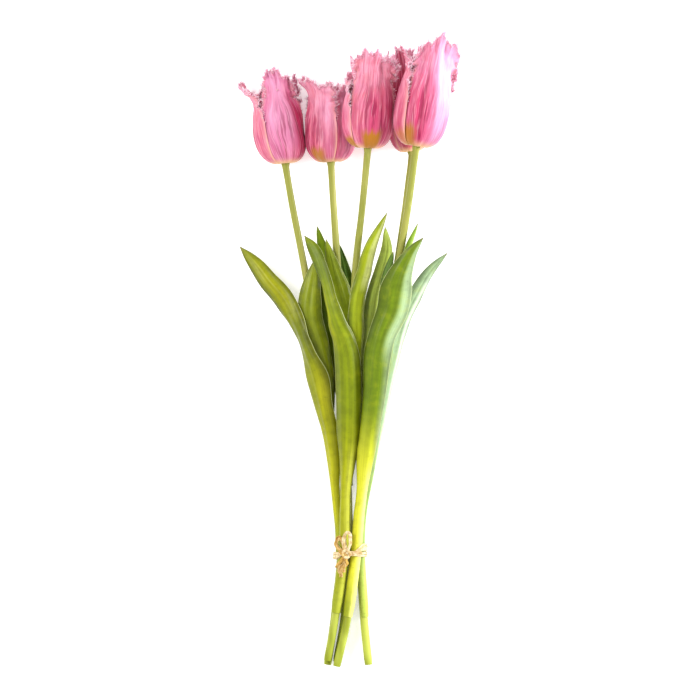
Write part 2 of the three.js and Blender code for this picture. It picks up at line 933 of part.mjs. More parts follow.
// Radius of what the tie binds at each stem: three stems are sheathed there and two are bare.
const SHEATHED = SHEATH_RADIUS + LEAF_THICKNESS / 2;
const BOUND = [STEM_RADIUS_CUT, STEM_RADIUS_CUT, SHEATHED, SHEATHED, SHEATHED];
const WRAP_STEPS = 20;
const STRAND_SIDES = 4;

// One turn of raffia round the bunch at Y = `y`, higher by `slant` on its right than on its middle.
function wrap(y, slant) {
  const points = [];
  for (let k = 0; k < WRAP_STEPS; k += 1) {
    const angle = (2 * Math.PI * k) / WRAP_STEPS;
    const out = v3(Math.cos(angle), 0, Math.sin(angle));
    const level = y + slant * Math.cos(angle);
    const reaches = STEMS.map((stem, index) => {
      const centre = stemAt(stem, level);
      const radius = BOUND[index] + SEAT_GAP + STRAND_RADIUS;
      return { centre, radius, reach: centre.dot(out) + radius };
    });
    const far = reaches.reduce((best, other) => (other.reach > best.reach ? other : best));
    points.push(v3(far.centre.x, level, far.centre.z).addScaledVector(out, far.radius));
  }
  const rings = points.map((point, k) => {
    const next = points[(k + 1) % WRAP_STEPS];
    const before = points[(k + WRAP_STEPS - 1) % WRAP_STEPS];
    const tangent = next.clone().sub(before);
    const out = new THREE.Vector3().crossVectors(v3(0, 1, 0), tangent).normalize();
    const ring = [];
    for (let j = 0; j < STRAND_SIDES; j += 1) {
      const angle = (2 * Math.PI * j) / STRAND_SIDES;
      const level = v3(0, STRAND_RADIUS * Math.sin(angle), 0);
      ring.push(point.clone().addScaledVector(out, STRAND_RADIUS * Math.cos(angle)).add(level));
    }
    return ring;
  });
  const triangles = [];
  for (let i = 0; i < WRAP_STEPS; i += 1) {
    const next = (i + 1) % WRAP_STEPS;
    for (let j = 0; j < STRAND_SIDES; j += 1) {
      const beside = (j + 1) % STRAND_SIDES;
      const [a, b] = [i * STRAND_SIDES + j, i * STRAND_SIDES + beside];
      const [c, d] = [next * STRAND_SIDES + beside, next * STRAND_SIDES + j];
      triangles.push(a, b, c, a, c, d);
    }
  }
  return indexed(
    rings.flat().flatMap((p) => p.toArray()),
    triangles,
  );
}

// The paths of the bow's upright loop and left loop, and of the loose ends below the knot.
const KNOT = [-2.8, -145, 21];
const LOOSE = [
  [KNOT, [-4.4, -137, 22], [-4, -131.5, 23], [-1.6, -129.6, 23.4], [0.6, -132, 23], [0, -138, 22], KNOT],
  [KNOT, [-6.6, -142.6, 20.6], [-9.4, -138.6, 18.8], [-9, -134.6, 18.6], [-6.4, -134.4, 20.2], KNOT],
  [KNOT, [-6, -149.6, 19.8], [-9.6, -154.8, 17.8]],
  [KNOT, [-5, -152, 19.8], [-7.1, -161.2, 18.4]],
  [KNOT, [-3, -151, 20.2], [-5, -157.6, 19.2]],
];

function tieGeometry() {
  const knot = new THREE.IcosahedronGeometry(1, 1);
  knot.scale(2.6, 3.2, 1.9).translate(...KNOT);
  const strands = LOOSE.map((points) =>
    loft(barRings(curveThrough(points), 3 * (points.length - 1), STRAND_SIDES, () => STRAND_RADIUS)),
  );
  return fused([knot, wrap(-144, 5), wrap(-144.4, 2.4), wrap(-145.4, -1), ...strands]);
}

// ---- Assembly ----------------------------------------------------------------------------------

const finish = {
  petal: new THREE.MeshStandardMaterial({ color: 0xe07f9f, roughness: 0.55, metalness: 0 }),
  heart: new THREE.MeshStandardMaterial({ color: 0xc9b545, roughness: 0.6, metalness: 0 }),
  stem: new THREE.MeshStandardMaterial({ color: 0xb9bd55, roughness: 0.5, metalness: 0 }),
  leaf: new THREE.MeshStandardMaterial({ color: 0x8fa62f, roughness: 0.5, metalness: 0 }),
  raffia: new THREE.MeshStandardMaterial({ color: 0xc8a55a, roughness: 0.8, metalness: 0 }),
};

const CENTRE = [-0.27, 0.01]; // the middle of the whole bunch's outline, which is put at X = Y = 0

const bunch = new THREE.Group();

function add(name, geometry, material) {
  const mesh = new THREE.Mesh(geometry.translate(-CENTRE[0], -CENTRE[1], 0), material);
  mesh.name = name;
  bunch.add(mesh);
}

BLOOMS.forEach((shape, k) => {
  const bloom = new Bloom(STEMS[k], shape);
  add(`stem_${k + 1}`, stemGeometry(STEMS[k], bloom), finish.stem);
  add(`bloom_${k + 1}`, bloom.geometry(shape), finish.petal);
  add(`bloom_${k + 1}_heart`, bloom.heartGeometry(), finish.heart);
});
for (const shape of LEAVES) add(shape.name, new Leaf(shape).geometry(), finish.leaf);
add("raffia_tie", tieGeometry(), finish.raffia);

export default bunch;
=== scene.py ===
# A hand-tied bunch of five fringed tulips lying on a table. Shapes are worked out in millimetres, as the bunch
# was measured, and turned to metres when a mesh is made. +Y runs along the stems to the blooms and +Z is up.
import math

import bpy
import numpy as np
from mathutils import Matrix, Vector
from mathutils.bvhtree import BVHTree


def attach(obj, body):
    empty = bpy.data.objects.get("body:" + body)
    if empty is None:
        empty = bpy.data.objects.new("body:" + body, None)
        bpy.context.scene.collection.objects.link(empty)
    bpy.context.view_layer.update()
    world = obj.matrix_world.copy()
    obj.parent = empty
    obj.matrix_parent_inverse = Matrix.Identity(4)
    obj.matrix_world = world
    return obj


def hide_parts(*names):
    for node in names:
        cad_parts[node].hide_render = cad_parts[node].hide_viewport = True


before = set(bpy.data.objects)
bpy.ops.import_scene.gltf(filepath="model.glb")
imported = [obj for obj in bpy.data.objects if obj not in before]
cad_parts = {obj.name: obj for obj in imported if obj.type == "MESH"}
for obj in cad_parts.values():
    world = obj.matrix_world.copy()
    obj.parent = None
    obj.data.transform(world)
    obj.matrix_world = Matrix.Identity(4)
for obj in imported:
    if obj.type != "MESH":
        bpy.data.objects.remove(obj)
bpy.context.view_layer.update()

# ---- Stems ----------------------------------------------------------------------------------------------------
# Five smooth round stems of soft green tissue, cut straight at the bottom, each a little thinner towards its
# bloom and swollen under it. A round section is swept along each stem's path.

MM = 0.001
CENTRE = np.array([-0.27, 0.01, 0])  # the middle of the bunch's outline, which lies at X = Y = 0
TIE_Y = -143
STEM_RADIUS_CUT = 2.8
STEM_RADIUS_TOP = 2.4
CUT_EDGE = 0.25  # how far the cut end's rim is rounded
STEM_PATHS = [
    [
        (-16, -224, 3.1), (-11, -190, 4.2), (-6.5, TIE_Y, 6.2), (-8.5, -110, 7.2), (-14.5, -60, 9.5),
        (-22, 0, 12.5), (-32.7, 60, 16.5), (-40.5, 100, 17.6), (-45.6, 129, 17.6),
    ],
    [
        (-9.4, -222, 3.0), (-4, -190, 3.6), (-0.4, TIE_Y, 4.6), (-1, -110, 5.8), (-2.6, -60, 8.2),
        (-5, 0, 11.5), (-8.9, 60, 15.6), (-11.6, 100, 18.2), (-13.4, 130, 19.5),
    ],
    [
        (-16, -221, 9.6), (-10.4, -190, 11.4), (-4.4, TIE_Y, 14.2), (-3.4, -110, 16.2), (-1.6, -60, 21.2),
        (0.6, 0, 28), (4.2, 60, 34.6), (8.6, 100, 39), (12.4, 139.4, 42),
    ],
    [
        (-9.4, -225, 9.4), (-1.7, -190, 11.8), (4.3, TIE_Y, 14.4), (7.2, -110, 17.2), (14.4, -60, 24.6),
        (24, 0, 34.5), (34.2, 60, 44), (40.9, 100, 49.6), (46.4, 140.4, 53),
    ],
    [
        (13.2, -224, 3.1), (9.8, -190, 4.6), (6.9, TIE_Y, 6.1), (9, -110, 7.0), (15.5, -60, 9.4),
        (24, 0, 12.4), (33.4, 60, 15.2), (39.2, 100, 15.4), (44, 137.6, 15),
    ],
]
FOOT_ABOVE_STEM = 5  # from a stem's top to the foot of its bloom, along the bloom's axis
RECEPTACLE = [(-4.2, 2.5), (-1.9, 2.95), (-1.0, 2.95), (-0.85, 2.0)]  # (height above the bloom's foot, radius)
BLOOM_TURNS = [-5, -3, 3, 9, -6]  # how far each bloom leans from +Y towards +X, in degrees
BLOOM_RISES = [0, 0, 2, 1, 0]  # and how far it lifts


def tint(red, green, blue):
    """A colour in eye values from 0 to 255, as linear values."""
    eye = np.array([red, green, blue]) / 255
    linear = np.where(eye <= 0.04045, eye / 12.92, ((eye + 0.055) / 1.055) ** 2.4)
    return (*linear.tolist(), 1.0)


def eased(t, start, slope_in, end, slope_out):
    """The cubic from start to end with these slopes, for t from 0 to 1."""
    return (
        (2 * t**3 - 3 * t**2 + 1) * start
        + (t**3 - 2 * t**2 + t) * slope_in
        + (3 * t**2 - 2 * t**3) * end
        + (t**3 - t**2) * slope_out
    )


def through(points):
    """A smooth curve through points, as a function of the share of the way along it."""
    knots = np.asarray(points, float)
    knots = np.vstack([2 * knots[0] - knots[1], knots, 2 * knots[-1] - knots[-2]])
    spans = len(points) - 1

    def at(share):
        place = np.clip(np.asarray(share, float), 0, 1) * spans
        k = np.minimum(place.astype(int), spans - 1)
        before, start, end, after = (knots[k + i] for i in range(4))
        return eased((place - k)[..., None], start, (end - before) / 2, end, (after - start) / 2)

    return at


def unit(vectors):
    return vectors / np.linalg.norm(vectors, axis=-1, keepdims=True)


def heading(curve, share):
    """Which way a curve runs at a share of its length."""
    share = np.asarray(share, float)
    return unit(curve(np.minimum(share + 1e-4, 1)) - curve(np.maximum(share - 1e-4, 0)))


def bloom_axis(number):
    """Which way a bloom and the end of its stem point."""
    turn, rise = math.radians(BLOOM_TURNS[number]), math.radians(BLOOM_RISES[number])
    return np.array([math.sin(turn) * math.cos(rise), math.cos(turn) * math.cos(rise), math.sin(rise)])


def put(tree, kind, inputs=None, out=0, **settings):
    """Adds a node and gives one of its outputs. An input takes a value or another node's output."""
    node = tree.nodes.new(kind)
    for name, value in settings.items():
        setattr(node, name, value)
    for key, value in (inputs or {}).items():
        if isinstance(value, bpy.types.NodeSocket):
            tree.links.new(value, node.inputs[key])
        else:
            node.inputs[key].default_value = value
    return node.outputs[out] if len(node.outputs) else None


def maths(tree, how, first, second=0.0):
    return put(tree, "ShaderNodeMath", {0: first, 1: second}, operation=how)


def times(tree, product, *factors):
    for factor in factors:
        product = maths(tree, "MULTIPLY", product, factor)
    return product


def joined(tree, x, y, z):
    return put(tree, "ShaderNodeCombineXYZ", {"X": x, "Y": y, "Z": z})


def ramp(tree, value, low, high, to_low=0.0, to_high=1.0):
    """Takes a value between low and high smoothly to the range given."""
    limits = {"Value": value, "From Min": low, "From Max": high, "To Min": to_low, "To Max": to_high}
    return put(tree, "ShaderNodeMapRange", limits, interpolation_type="SMOOTHSTEP")


def start_tree(name, **sizes):
    """A tree that makes geometry, with a named input for each size, given as (kind of socket, value)."""
    tree = bpy.data.node_groups.new(name, "GeometryNodeTree")
    tree.interface.new_socket("Geometry", in_out="INPUT", socket_type="NodeSocketGeometry")
    for label, (kind, value) in {**sizes, "Seed": ("Int", 1), "Material": ("Material", None)}.items():
        label, kind = label.replace("_", " "), "NodeSocket" + kind
        socket = tree.interface.new_socket(label, in_out="INPUT", socket_type=kind)
        if value is not None:
            socket.default_value = value
    tree.interface.new_socket("Geometry", in_out="OUTPUT", socket_type="NodeSocketGeometry")
    return tree, tree.nodes.new("NodeGroupInput").outputs


def named(tree, name, kind="FLOAT"):
    """A value that the points carry."""
    return put(tree, "GeometryNodeInputNamedAttribute", {"Name": name}, data_type=kind)


def noted(tree, geometry, name, value):
    """Gives points a value to carry on to the material."""
    inputs = {"Geometry": geometry, "Name": name, "Value": value}
    return put(tree, "GeometryNodeStoreNamedAttribute", inputs, data_type="FLOAT", domain="POINT")


def end_tree(tree, geometry, material):
    """Ends a tree with real geometry that wears the material."""
    real = put(tree, "GeometryNodeRealizeInstances", {"Geometry": geometry})
    worn = put(tree, "GeometryNodeSetMaterial", {"Geometry": real, "Material": material})
    put(tree, "NodeGroupOutput", {"Geometry": worn})


def paths_mesh(name, paths, values):
    """Open lines of points as a mesh of edges, with values that the points carry."""
    points = np.vstack(paths)
    edges, first = [], 0
    for path in paths:
        edges += [(first + k, first + k + 1) for k in range(len(path) - 1)]
        first += len(path)
    mesh = bpy.data.meshes.new(name)
    mesh.from_pydata(((points - CENTRE) * MM).tolist(), edges, [])
    for label, rows in values.items():
        rows = np.concatenate(rows).astype(np.float32)
        flat = rows.ndim == 1
        layer = mesh.attributes.new(label, "FLOAT" if flat else "FLOAT_VECTOR", "POINT")
        layer.data.foreach_set("value" if flat else "vector", rows.ravel())
    return mesh


def added(name, data):
    """An object in the scene with this mesh, light or camera."""
    thing = bpy.data.objects.new(name, data)
    bpy.context.scene.collection.objects.link(thing)
    return thing


def grown(name, paths, values, tree, material, **sizes):
    """Runs a tree on lines of points and keeps the result as a plain mesh."""
    seed = added(name + ".seed", paths_mesh(name + ".paths", paths, values))
    modifier = seed.modifiers.new("grow", "NODES")
    modifier.node_group = tree
    sockets = {item.name: item.identifier for item in tree.interface.items_tree if item.in_out == "INPUT"}
    for label, value in {**sizes, "Material": material}.items():
        modifier[sockets[label.replace("_", " ")]] = value
    ready = bpy.context.evaluated_depsgraph_get()
    result = bpy.data.meshes.new_from_object(seed.evaluated_get(ready), depsgraph=ready)
    bpy.data.objects.remove(seed)
    result.name = name
    result.shade_smooth()
    return result


def bars(name, paths, radii, material, twists=None, values=None, **sizes):
    """Round or flat bars along lines of points, with their radii in millimetres."""
    thick = [radius * MM for radius in radii]
    values = {"thick": thick, "twist": twists or [0 * radius for radius in radii], **(values or {})}
    return grown(name, paths, values, bar_tree, material, **sizes)


def place(name, mesh, slot, node):
    """Puts a finished mesh on the bunch in place of a solid."""
    piece = added(name, mesh)
    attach(piece, "root")
    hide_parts(node)


# A bar swept along a path whose points say how thick it is and how far it twists, dented at random.
bar_tree, bar_in = start_tree(
    "bar", Sides=("Int", 16), Flatness=("Float", 1.0), Dents=("Float", 0.0), Dent_Size=("Float", 4.0)
)
line = put(bar_tree, "GeometryNodeMeshToCurve", {"Mesh": bar_in["Geometry"]})
along = put(bar_tree, "GeometryNodeSplineParameter")
line = noted(bar_tree, line, "along", along)
line = put(bar_tree, "GeometryNodeSetCurveTilt", {"Curve": line, "Tilt": named(bar_tree, "twist")})
section = {"Resolution": bar_in["Sides"], "Radius": 1.0}
section = put(bar_tree, "GeometryNodeCurvePrimitiveCircle", section, mode="RADIUS")
section = noted(bar_tree, section, "around", along)
flat = joined(bar_tree, 1.0, bar_in["Flatness"], 1.0)
section = put(bar_tree, "GeometryNodeTransform", {"Geometry": section, "Scale": flat})
body = {"Curve": line, "Profile Curve": section, "Scale": named(bar_tree, "thick"), "Fill Caps": True}
body = put(bar_tree, "GeometryNodeCurveToMesh", body)
dent = {"Scale": bar_in["Dent Size"], "Detail": 2.0, "W": bar_in["Seed"]}
dent = put(bar_tree, "ShaderNodeTexNoise", dent, noise_dimensions="4D")
dent = times(bar_tree, maths(bar_tree, "SUBTRACT", dent, 0.5), bar_in["Dents"])
outward = put(bar_tree, "GeometryNodeInputNormal")
shift = put(bar_tree, "ShaderNodeVectorMath", {0: outward, "Scale": dent}, operation="SCALE")
body = put(bar_tree, "GeometryNodeSetPosition", {"Geometry": body, "Offset": shift})
end_tree(bar_tree, body, bar_in["Material"])


def start_material(name, **shader):
    """A material and its shader, with values that are the same all over."""
    material = bpy.data.materials.new(name)
    material.use_nodes = True
    surface = material.node_tree.nodes["Principled BSDF"]
    for label, value in shader.items():
        surface.inputs[label.replace("_", " ")].default_value = value
    return material, material.node_tree, surface


def coated(tree, colour, *coats):
    """A colour under coats, each (share, red, green, blue) or (share, another colour)."""
    for share, *coat in coats:
        coat = coat[0] if len(coat) == 1 else tint(*coat)
        node = tree.nodes.new("ShaderNodeMix")  # which has sockets for other kinds of data as well
        node.data_type = "RGBA"
        colours = [socket for socket in node.inputs if socket.type == "RGBA"]
        for socket, value in zip([node.inputs[0], *colours], [share, colour, coat]):
            if isinstance(value, bpy.types.NodeSocket):
                tree.links.new(value, socket)
            else:
                socket.default_value = value
        colour = next(socket for socket in node.outputs if socket.type == "RGBA")
    return colour


def painted(tree, surface, *coats):
    tree.links.new(coated(tree, *coats), surface.inputs["Base Color"])


def in_space(tree):
    """Where a point is on the bunch."""
    return put(tree, "ShaderNodeTexCoord", out="Object")


def spots(tree, where, size, detail=2.0, rough=0.5):
    inputs = {"Vector": where, "Scale": size, "Detail": detail, "Roughness": rough}
    return put(tree, "ShaderNodeTexNoise", inputs)


def relief(tree, surface, height, depth, strength=1.0):
    """Fine unevenness too small to model, with its depth in metres."""
    bump = put(tree, "ShaderNodeBump", {"Height": height, "Distance": depth, "Strength": strength})
    tree.links.new(bump, surface.inputs["Normal"])


stem_skin, tree, surface = start_material("stem_skin", Roughness=0.4, Specular_IOR_Level=0.22)
spot = in_space(tree)
fibres = spots(tree, put(tree, "ShaderNodeMapping", {"Vector": spot, "Scale": (900, 25, 900)}), 1)
patches = spots(tree, put(tree, "ShaderNodeMapping", {"Vector": spot, "Scale": (60, 14, 60)}), 1)
height = put(tree, "ShaderNodeSeparateXYZ", {"Vector": spot}, out="Y")
shaded = coated(tree, tint(132, 144, 20), (ramp(tree, patches, 0.42, 0.6), 184, 196, 76))
painted(
    tree, surface, tint(130, 134, 52),
    (ramp(tree, patches, 0.35, 0.7), 152, 152, 72),
    (ramp(tree, fibres, 0.45, 0.75, 0, 0.35), 180, 178, 104),
    (ramp(tree, height, -0.22, -0.1, 0.8, 0), shaded),  # near the cut ends
)
relief(tree, surface, fibres, 0.00008, 0.5)

for number, points in enumerate(STEM_PATHS):
    path = through(points)
    share = np.linspace(0, 1, 90)
    line_points = path(share)
    radius = STEM_RADIUS_CUT + (STEM_RADIUS_TOP - STEM_RADIUS_CUT) * share
    radius[0] -= CUT_EDGE
    foot = line_points[-1] + bloom_axis(number) * FOOT_ABOVE_STEM
    line_points = np.vstack([
        line_points[0] - heading(path, 0) * CUT_EDGE, line_points[1:-2],
        [foot + bloom_axis(number) * height for height, _ in RECEPTACLE],
    ])
    radius = np.concatenate([radius[:-2], [width for _, width in RECEPTACLE]])
    name = f"stem_{number + 1}"
    sizes = {"Sides": 20, "Dents": 0.00035, "Dent_Size": 45.0, "Seed": number}
    place(name + "_skin", bars(name + "_skin", [line_points], [radius], stem_skin, **sizes), "stem", name)

# ---- Leaves ---------------------------------------------------------------------------------------------------
# Twelve long channelled leaves of thick, waxy, finely ribbed tissue. Each wraps its stem at the bottom, opens
# into a trough and runs out to a point. A grid is bent along the midrib's path and given two faces and a rim.

SHEATH_RADIUS = 3.7  # from the stem's axis to the middle of the sheath's wall
SHEATH_WALL = 0.7
SHEATH_WRAP = 230  # degrees of the stem that a leaf's base goes round
SHEATH_STEP = 18  # between the midrib's stations along the sheath
SHEATH_FADE = 70  # over this length the sheath's colour turns into the blade's
FOOT_HUG = 0.62  # how far the sheath's lower end closes onto the stem
FOOT_RIM = 0.35  # and how much thicker it is
FOOT_TINT = (136, 146, 28)
BLADE_THICKNESS = 0.62
RIPPLE = 0.5  # depth of the margins' long waves
FRILL = 0.35  # and of their short ones
PLEAT = 0.3  # depth of the folds along a blade
PLEATED_WIDTH = 17  # of a blade whose folds are that deep
RIB = 0.05
GROOVE = 0.22  # depth of the groove along the midrib's back
LOWEST_BLADE = 0.4  # the middle of a blade that lies on the table
LEAVES = {
    # name: (stem, lowest Y of the sheath, Y where it opens, way its back faces, wave, colours of blade and
    #        sheath, stations of the midrib as x, y, z, way the back faces, width round the curve, its arc)
    "leaf_1_left": (1, -145, -96, 165, 0.2, (122, 128, 6), (162, 162, 6), [
        (-15.3, -80, 10.4, 158, 20, 210), (-17.9, -61, 12.8, 148, 22.5, 180), (-22.6, -40, 16.7, 138, 23, 140),
        (-26.8, -20, 18.8, 132, 25, 112), (-33, 0, 20.5, 155, 21, 95), (-38, 14, 21, 150, 19, 90),
        (-47.2, 34.5, 19.5, 118, 17, 80), (-59, 49.5, 16.5, 106, 15, 75), (-68, 61.5, 13, 100, 11, 70),
        (-78.6, 73.8, 9, 95, 1.6, 60),
    ]),
    "leaf_1_front": (1, -68, -58, 80, 0.6, (120, 132, 18), (128, 138, 16), [
        (-15.9, -40, 16.6, 80, 15.5, 150), (-16.9, -20, 18.2, 76, 14, 80), (-22, 2.5, 20.2, 85, 17, 90),
        (-27.9, 22.5, 21.6, 90, 18.5, 80), (-28.6, 36, 22.2, 92, 17.5, 75), (-27, 50, 22, 92, 12, 70),
        (-24.4, 65, 21, 90, 1.6, 60),
    ]),
    "leaf_2_front": (2, -97, -89, 80, 0.1, (130, 146, 20), (130, 142, 16), [
        (-1.1, -76, 12.7, 80, 17.5, 190), (-1.6, -58, 15.2, 80, 16, 130), (-2.4, -30, 17.8, 82, 15, 100),
        (-1.2, 0, 19.2, 86, 17.5, 90), (-3.6, 25, 20.6, 90, 18, 80), (-7.1, 41, 21.6, 90, 17, 75),
        (-11.8, 57, 22.2, 90, 12, 70), (-17, 78.8, 23, 90, 1.6, 60),
    ]),
    "leaf_2_right": (2, -74, -66, 320, 0.8, (70, 100, 22), (96, 120, 24), [
        (0.3, -45, 4.2, 305, 13.6, 130), (3, -8, 4.4, 285, 14, 90), (2.6, 20, 5.8, 272, 14, 75),
        (-1, 42.6, 7.6, 270, 12, 70), (-4.6, 60, 10, 268, 8, 65), (-7.8, 75.3, 12.5, 265, 1.6, 60),
    ]),
    "leaf_2_left": (2, -52, -45, 215, 0.4, (108, 132, 12), (124, 136, 14), [
        (-8.4, -28, 6.4, 235, 13.5, 120), (-11, -4, 6.6, 255, 15, 90), (-12.8, 22, 7.6, 268, 16, 75),
        (-14.6, 46, 9.4, 270, 15, 70), (-18.4, 67, 12, 270, 10, 65), (-23.4, 88, 16, 270, 1.6, 60),
    ]),
    "leaf_3_front": (3, -187, -100, 105, 0.3, (112, 126, 4), (142, 146, 2), [
        (-2.4, -80, 24.6, 97, 19, 190), (-1.2, -62, 28, 93, 23, 150), (-0.8, -36, 32.4, 92, 24, 140),
        (-1.8, -10, 36.8, 93, 22, 118), (-4.6, 6, 39.6, 100, 18, 95), (-9.6, 18, 40.4, 112, 15, 85),
        (-13.6, 31, 40, 128, 12, 80), (-17.4, 46, 38, 132, 11, 75), (-21.6, 60, 35.5, 122, 11, 70),
        (-26.4, 72, 33, 105, 9, 65), (-32.4, 81.3, 31, 95, 1.6, 60),
    ]),
    "leaf_3_right": (3, -80, -70, 50, 0.7, (140, 154, 14), (104, 120, 2), [
        (2.9, -36, 28.6, 52, 14, 130), (4, -10, 30.6, 60, 14, 90), (5, 8, 34, 66, 13.5, 80),
        (4.8, 26, 36.8, 74, 12.5, 75), (6.6, 41, 38.6, 75, 12, 70), (10.6, 56, 40.2, 74, 11, 70),
        (15, 73, 41.6, 72, 9.5, 65), (26.3, 97.3, 43, 80, 1.6, 60),
    ]),
    "leaf_4_front": (4, -190, -100, 85, 0.5, (92, 114, 8), (196, 196, 44), [
        (10.7, -78, 27.4, 90, 20.5, 190), (12.6, -60, 31.8, 98, 20, 165), (16.6, -28, 38.2, 100, 21, 130),
        (18.4, -6, 41.4, 98, 23, 112), (22.6, 11, 44.2, 94, 22, 100), (29.8, 28, 47, 90, 25, 95),
        (32.6, 42, 49.6, 88, 25, 85), (36, 54, 51.8, 86, 18, 75), (43.4, 69, 54.2, 82, 9, 65),
        (51.8, 79.5, 56, 80, 1.6, 60),
    ]),
    "leaf_4_right": (4, -78, -68, 345, 0.2, (110, 140, 30), (110, 134, 20), [
        (21.3, -48, 24.3, 338, 12, 116), (26.2, -20, 27.8, 336, 13, 88), (30.3, 4, 32.6, 344, 13, 85),
        (33.8, 28, 37.6, 368, 13, 88), (38, 50, 42.4, 378, 12, 90), (41.2, 68, 46, 384, 11, 75),
        (48, 89.6, 50, 400, 1.6, 60),
    ]),
    "leaf_4_left": (4, -52, -42, 160, 0.9, (78, 108, 26), (110, 132, 20), [
        (15.2, -20, 33.4, 152, 12, 120), (18.6, 0, 38.2, 142, 11, 90), (22, 20, 42.2, 128, 11, 80),
        (24, 38, 44.8, 112, 10, 75), (26.4, 54, 46.6, 104, 7.5, 65), (30.6, 69.6, 47.8, 95, 1.6, 60),
    ]),
    "leaf_5_left": (5, -92, -82, 120, 0.4, (154, 172, 70), (130, 142, 18), [
        (11.6, -57, 14, 115, 16, 150), (14, -21, 17.2, 105, 17, 110), (15.4, 7, 19.8, 100, 18, 90),
        (17.6, 34, 22.4, 97, 16, 80), (22.6, 56, 24.6, 95, 12, 75), (26, 72, 26.2, 92, 8.5, 70),
        (25, 87.3, 27.4, 90, 1.6, 60),
    ]),
    "leaf_5_right": (5, -190, -112, 12, 0.6, (136, 160, 118), (140, 166, 80), [
        (16.9, -88, 9.6, 16, 17.5, 185), (21.6, -60, 11.6, 30, 18, 130), (27, -28, 15.4, 40, 18, 96),
        (31.6, -6, 18, 46, 17.5, 85), (37.6, 18, 20.4, 52, 15, 78), (46.6, 38, 22, 56, 12.5, 70),
        (57, 56, 22.6, 64, 8, 62), (69.2, 68.9, 22, 70, 1.6, 60),
    ]),
}

# Paler, yellower or darker patches: from and to, along the leaf from 0 to 1 and across it from -1 to 1, how
# strong, and their colour. The pale ones on the leaves' right-hand sides are painted highlights.
PATCHES_AND_HIGHLIGHTS = {
    "leaf_1_left": [(0.44, 0.54, 0.2, 0.9, 0.5, (182, 178, 6)), (0.56, 0.95, -1.6, -0.75, 0.7, (84, 98, 18)),
                    (0.6, 0.72, -0.7, 1, 0.55, (84, 98, 18)), (0.76, 0.92, -0.3, 0.5, 0.4, (160, 158, 10))],
    "leaf_1_front": [(0.3, 0.9, 0.7, 1.6, 0.5, (84, 100, 20))],
    "leaf_3_front": [(0, 0.4, 0.1, 1.4, 0.35, (214, 216, 90)), (0.62, 0.8, -1.5, -0.5, 0.6, (170, 176, 16)),
                     (0.82, 1.1, -1.5, 1.5, 0.6, (84, 104, 8))],
    "leaf_3_right": [(0.7, 1.1, 0, 1.5, 0.75, (206, 214, 130)), (0.3, 0.8, -1.5, -0.4, 0.5, (110, 128, 10))],
    "leaf_4_front": [(-1, 0.36, 0.1, 1.4, 0.75, (228, 230, 130)), (0.62, 1.1, 0.4, 1.5, 0.7, (182, 208, 160)),
                     (0.42, 0.62, 0.6, 1.5, 0.25, (182, 208, 160))],
    "leaf_4_right": [(0.6, 1.1, 0, 1.5, 0.6, (170, 190, 90))],
    "leaf_5_left": [(0.4, 0.8, -1.5, -0.5, 0.5, (96, 116, 50))],
    "leaf_5_right": [(-1, 0.5, 0, 1.5, 0.6, (214, 226, 180)), (0.5, 0.9, 0.2, 1.5, 0.6, (206, 222, 196)),
                     (0.3, 0.8, -1.6, -0.5, 0.5, (92, 128, 96)), (-1, 0.16, -1.5, 1.5, 0.75, (186, 204, 84))],
}
PATCH_EDGE = (0.05, 0.25)  # how softly a patch ends, along and across
BLADE_ROWS = 130
BLADE_COLUMNS = np.array([-1, -0.985, *np.linspace(-0.95, 0.95, 27), 0.985, 1])
SHARP_RIM = 70  # degrees between a sheet's face and its rim, which stays crisp


def smooth(start, end, x):
    """0 before start, 1 after end, and an even S-curve between."""
    t = np.clip((np.asarray(x, float) - start) / (end - start), 0, 1)
    return t * t * (3 - 2 * t)


def between(start, end, edge, x):
    """1 from start to end and 0 outside, with soft edges."""
    return smooth(start - edge, start + edge, x) * (1 - smooth(end - edge, end + edge, x))


def sine(turns):
    return np.sin(2 * np.pi * turns)


def profile(pairs):
    """A smooth function through (position, value) pairs."""
    at, values = np.asarray(pairs, float).T

    def value(x):
        x = np.asarray(x, float)
        k = np.clip(np.searchsorted(at, x, "left") - 1, 0, len(at) - 2)
        before, after = np.maximum(k - 1, 0), np.minimum(k + 2, len(at) - 1)
        span = at[k + 1] - at[k]
        t = (x - at[k]) / span
        slope_in = (values[k + 1] - values[before]) / (at[k + 1] - at[before])
        slope_out = (values[after] - values[k]) / (at[after] - at[k])
        inside = eased(t, values[k], span * slope_in, values[k + 1], span * slope_out)
        return np.where(t > 1, values[k + 1] + slope_out * (x - at[k + 1]), inside)

    return value


def travelled(points):
    """How far along a line each of its points lies."""
    return np.concatenate([[0], np.linalg.norm(np.diff(points, axis=0), axis=1).cumsum()])


def stem_at(stem, y):
    """The point on a stem's axis at a given Y."""
    share = np.linspace(0, 1, 4001)
    axis = through(STEM_PATHS[stem - 1])
    return axis(np.interp(y, axis(share)[:, 1], share))


def numbered(rows, columns, first=0):
    """The numbers of a grid's points and of the corners of its faces."""
    number = np.arange(rows * columns).reshape(rows, columns) + first
    faces = np.stack([number[:-1, :-1], number[:-1, 1:], number[1:, 1:], number[1:, :-1]], -1)
    return number, faces.reshape(-1, 4)


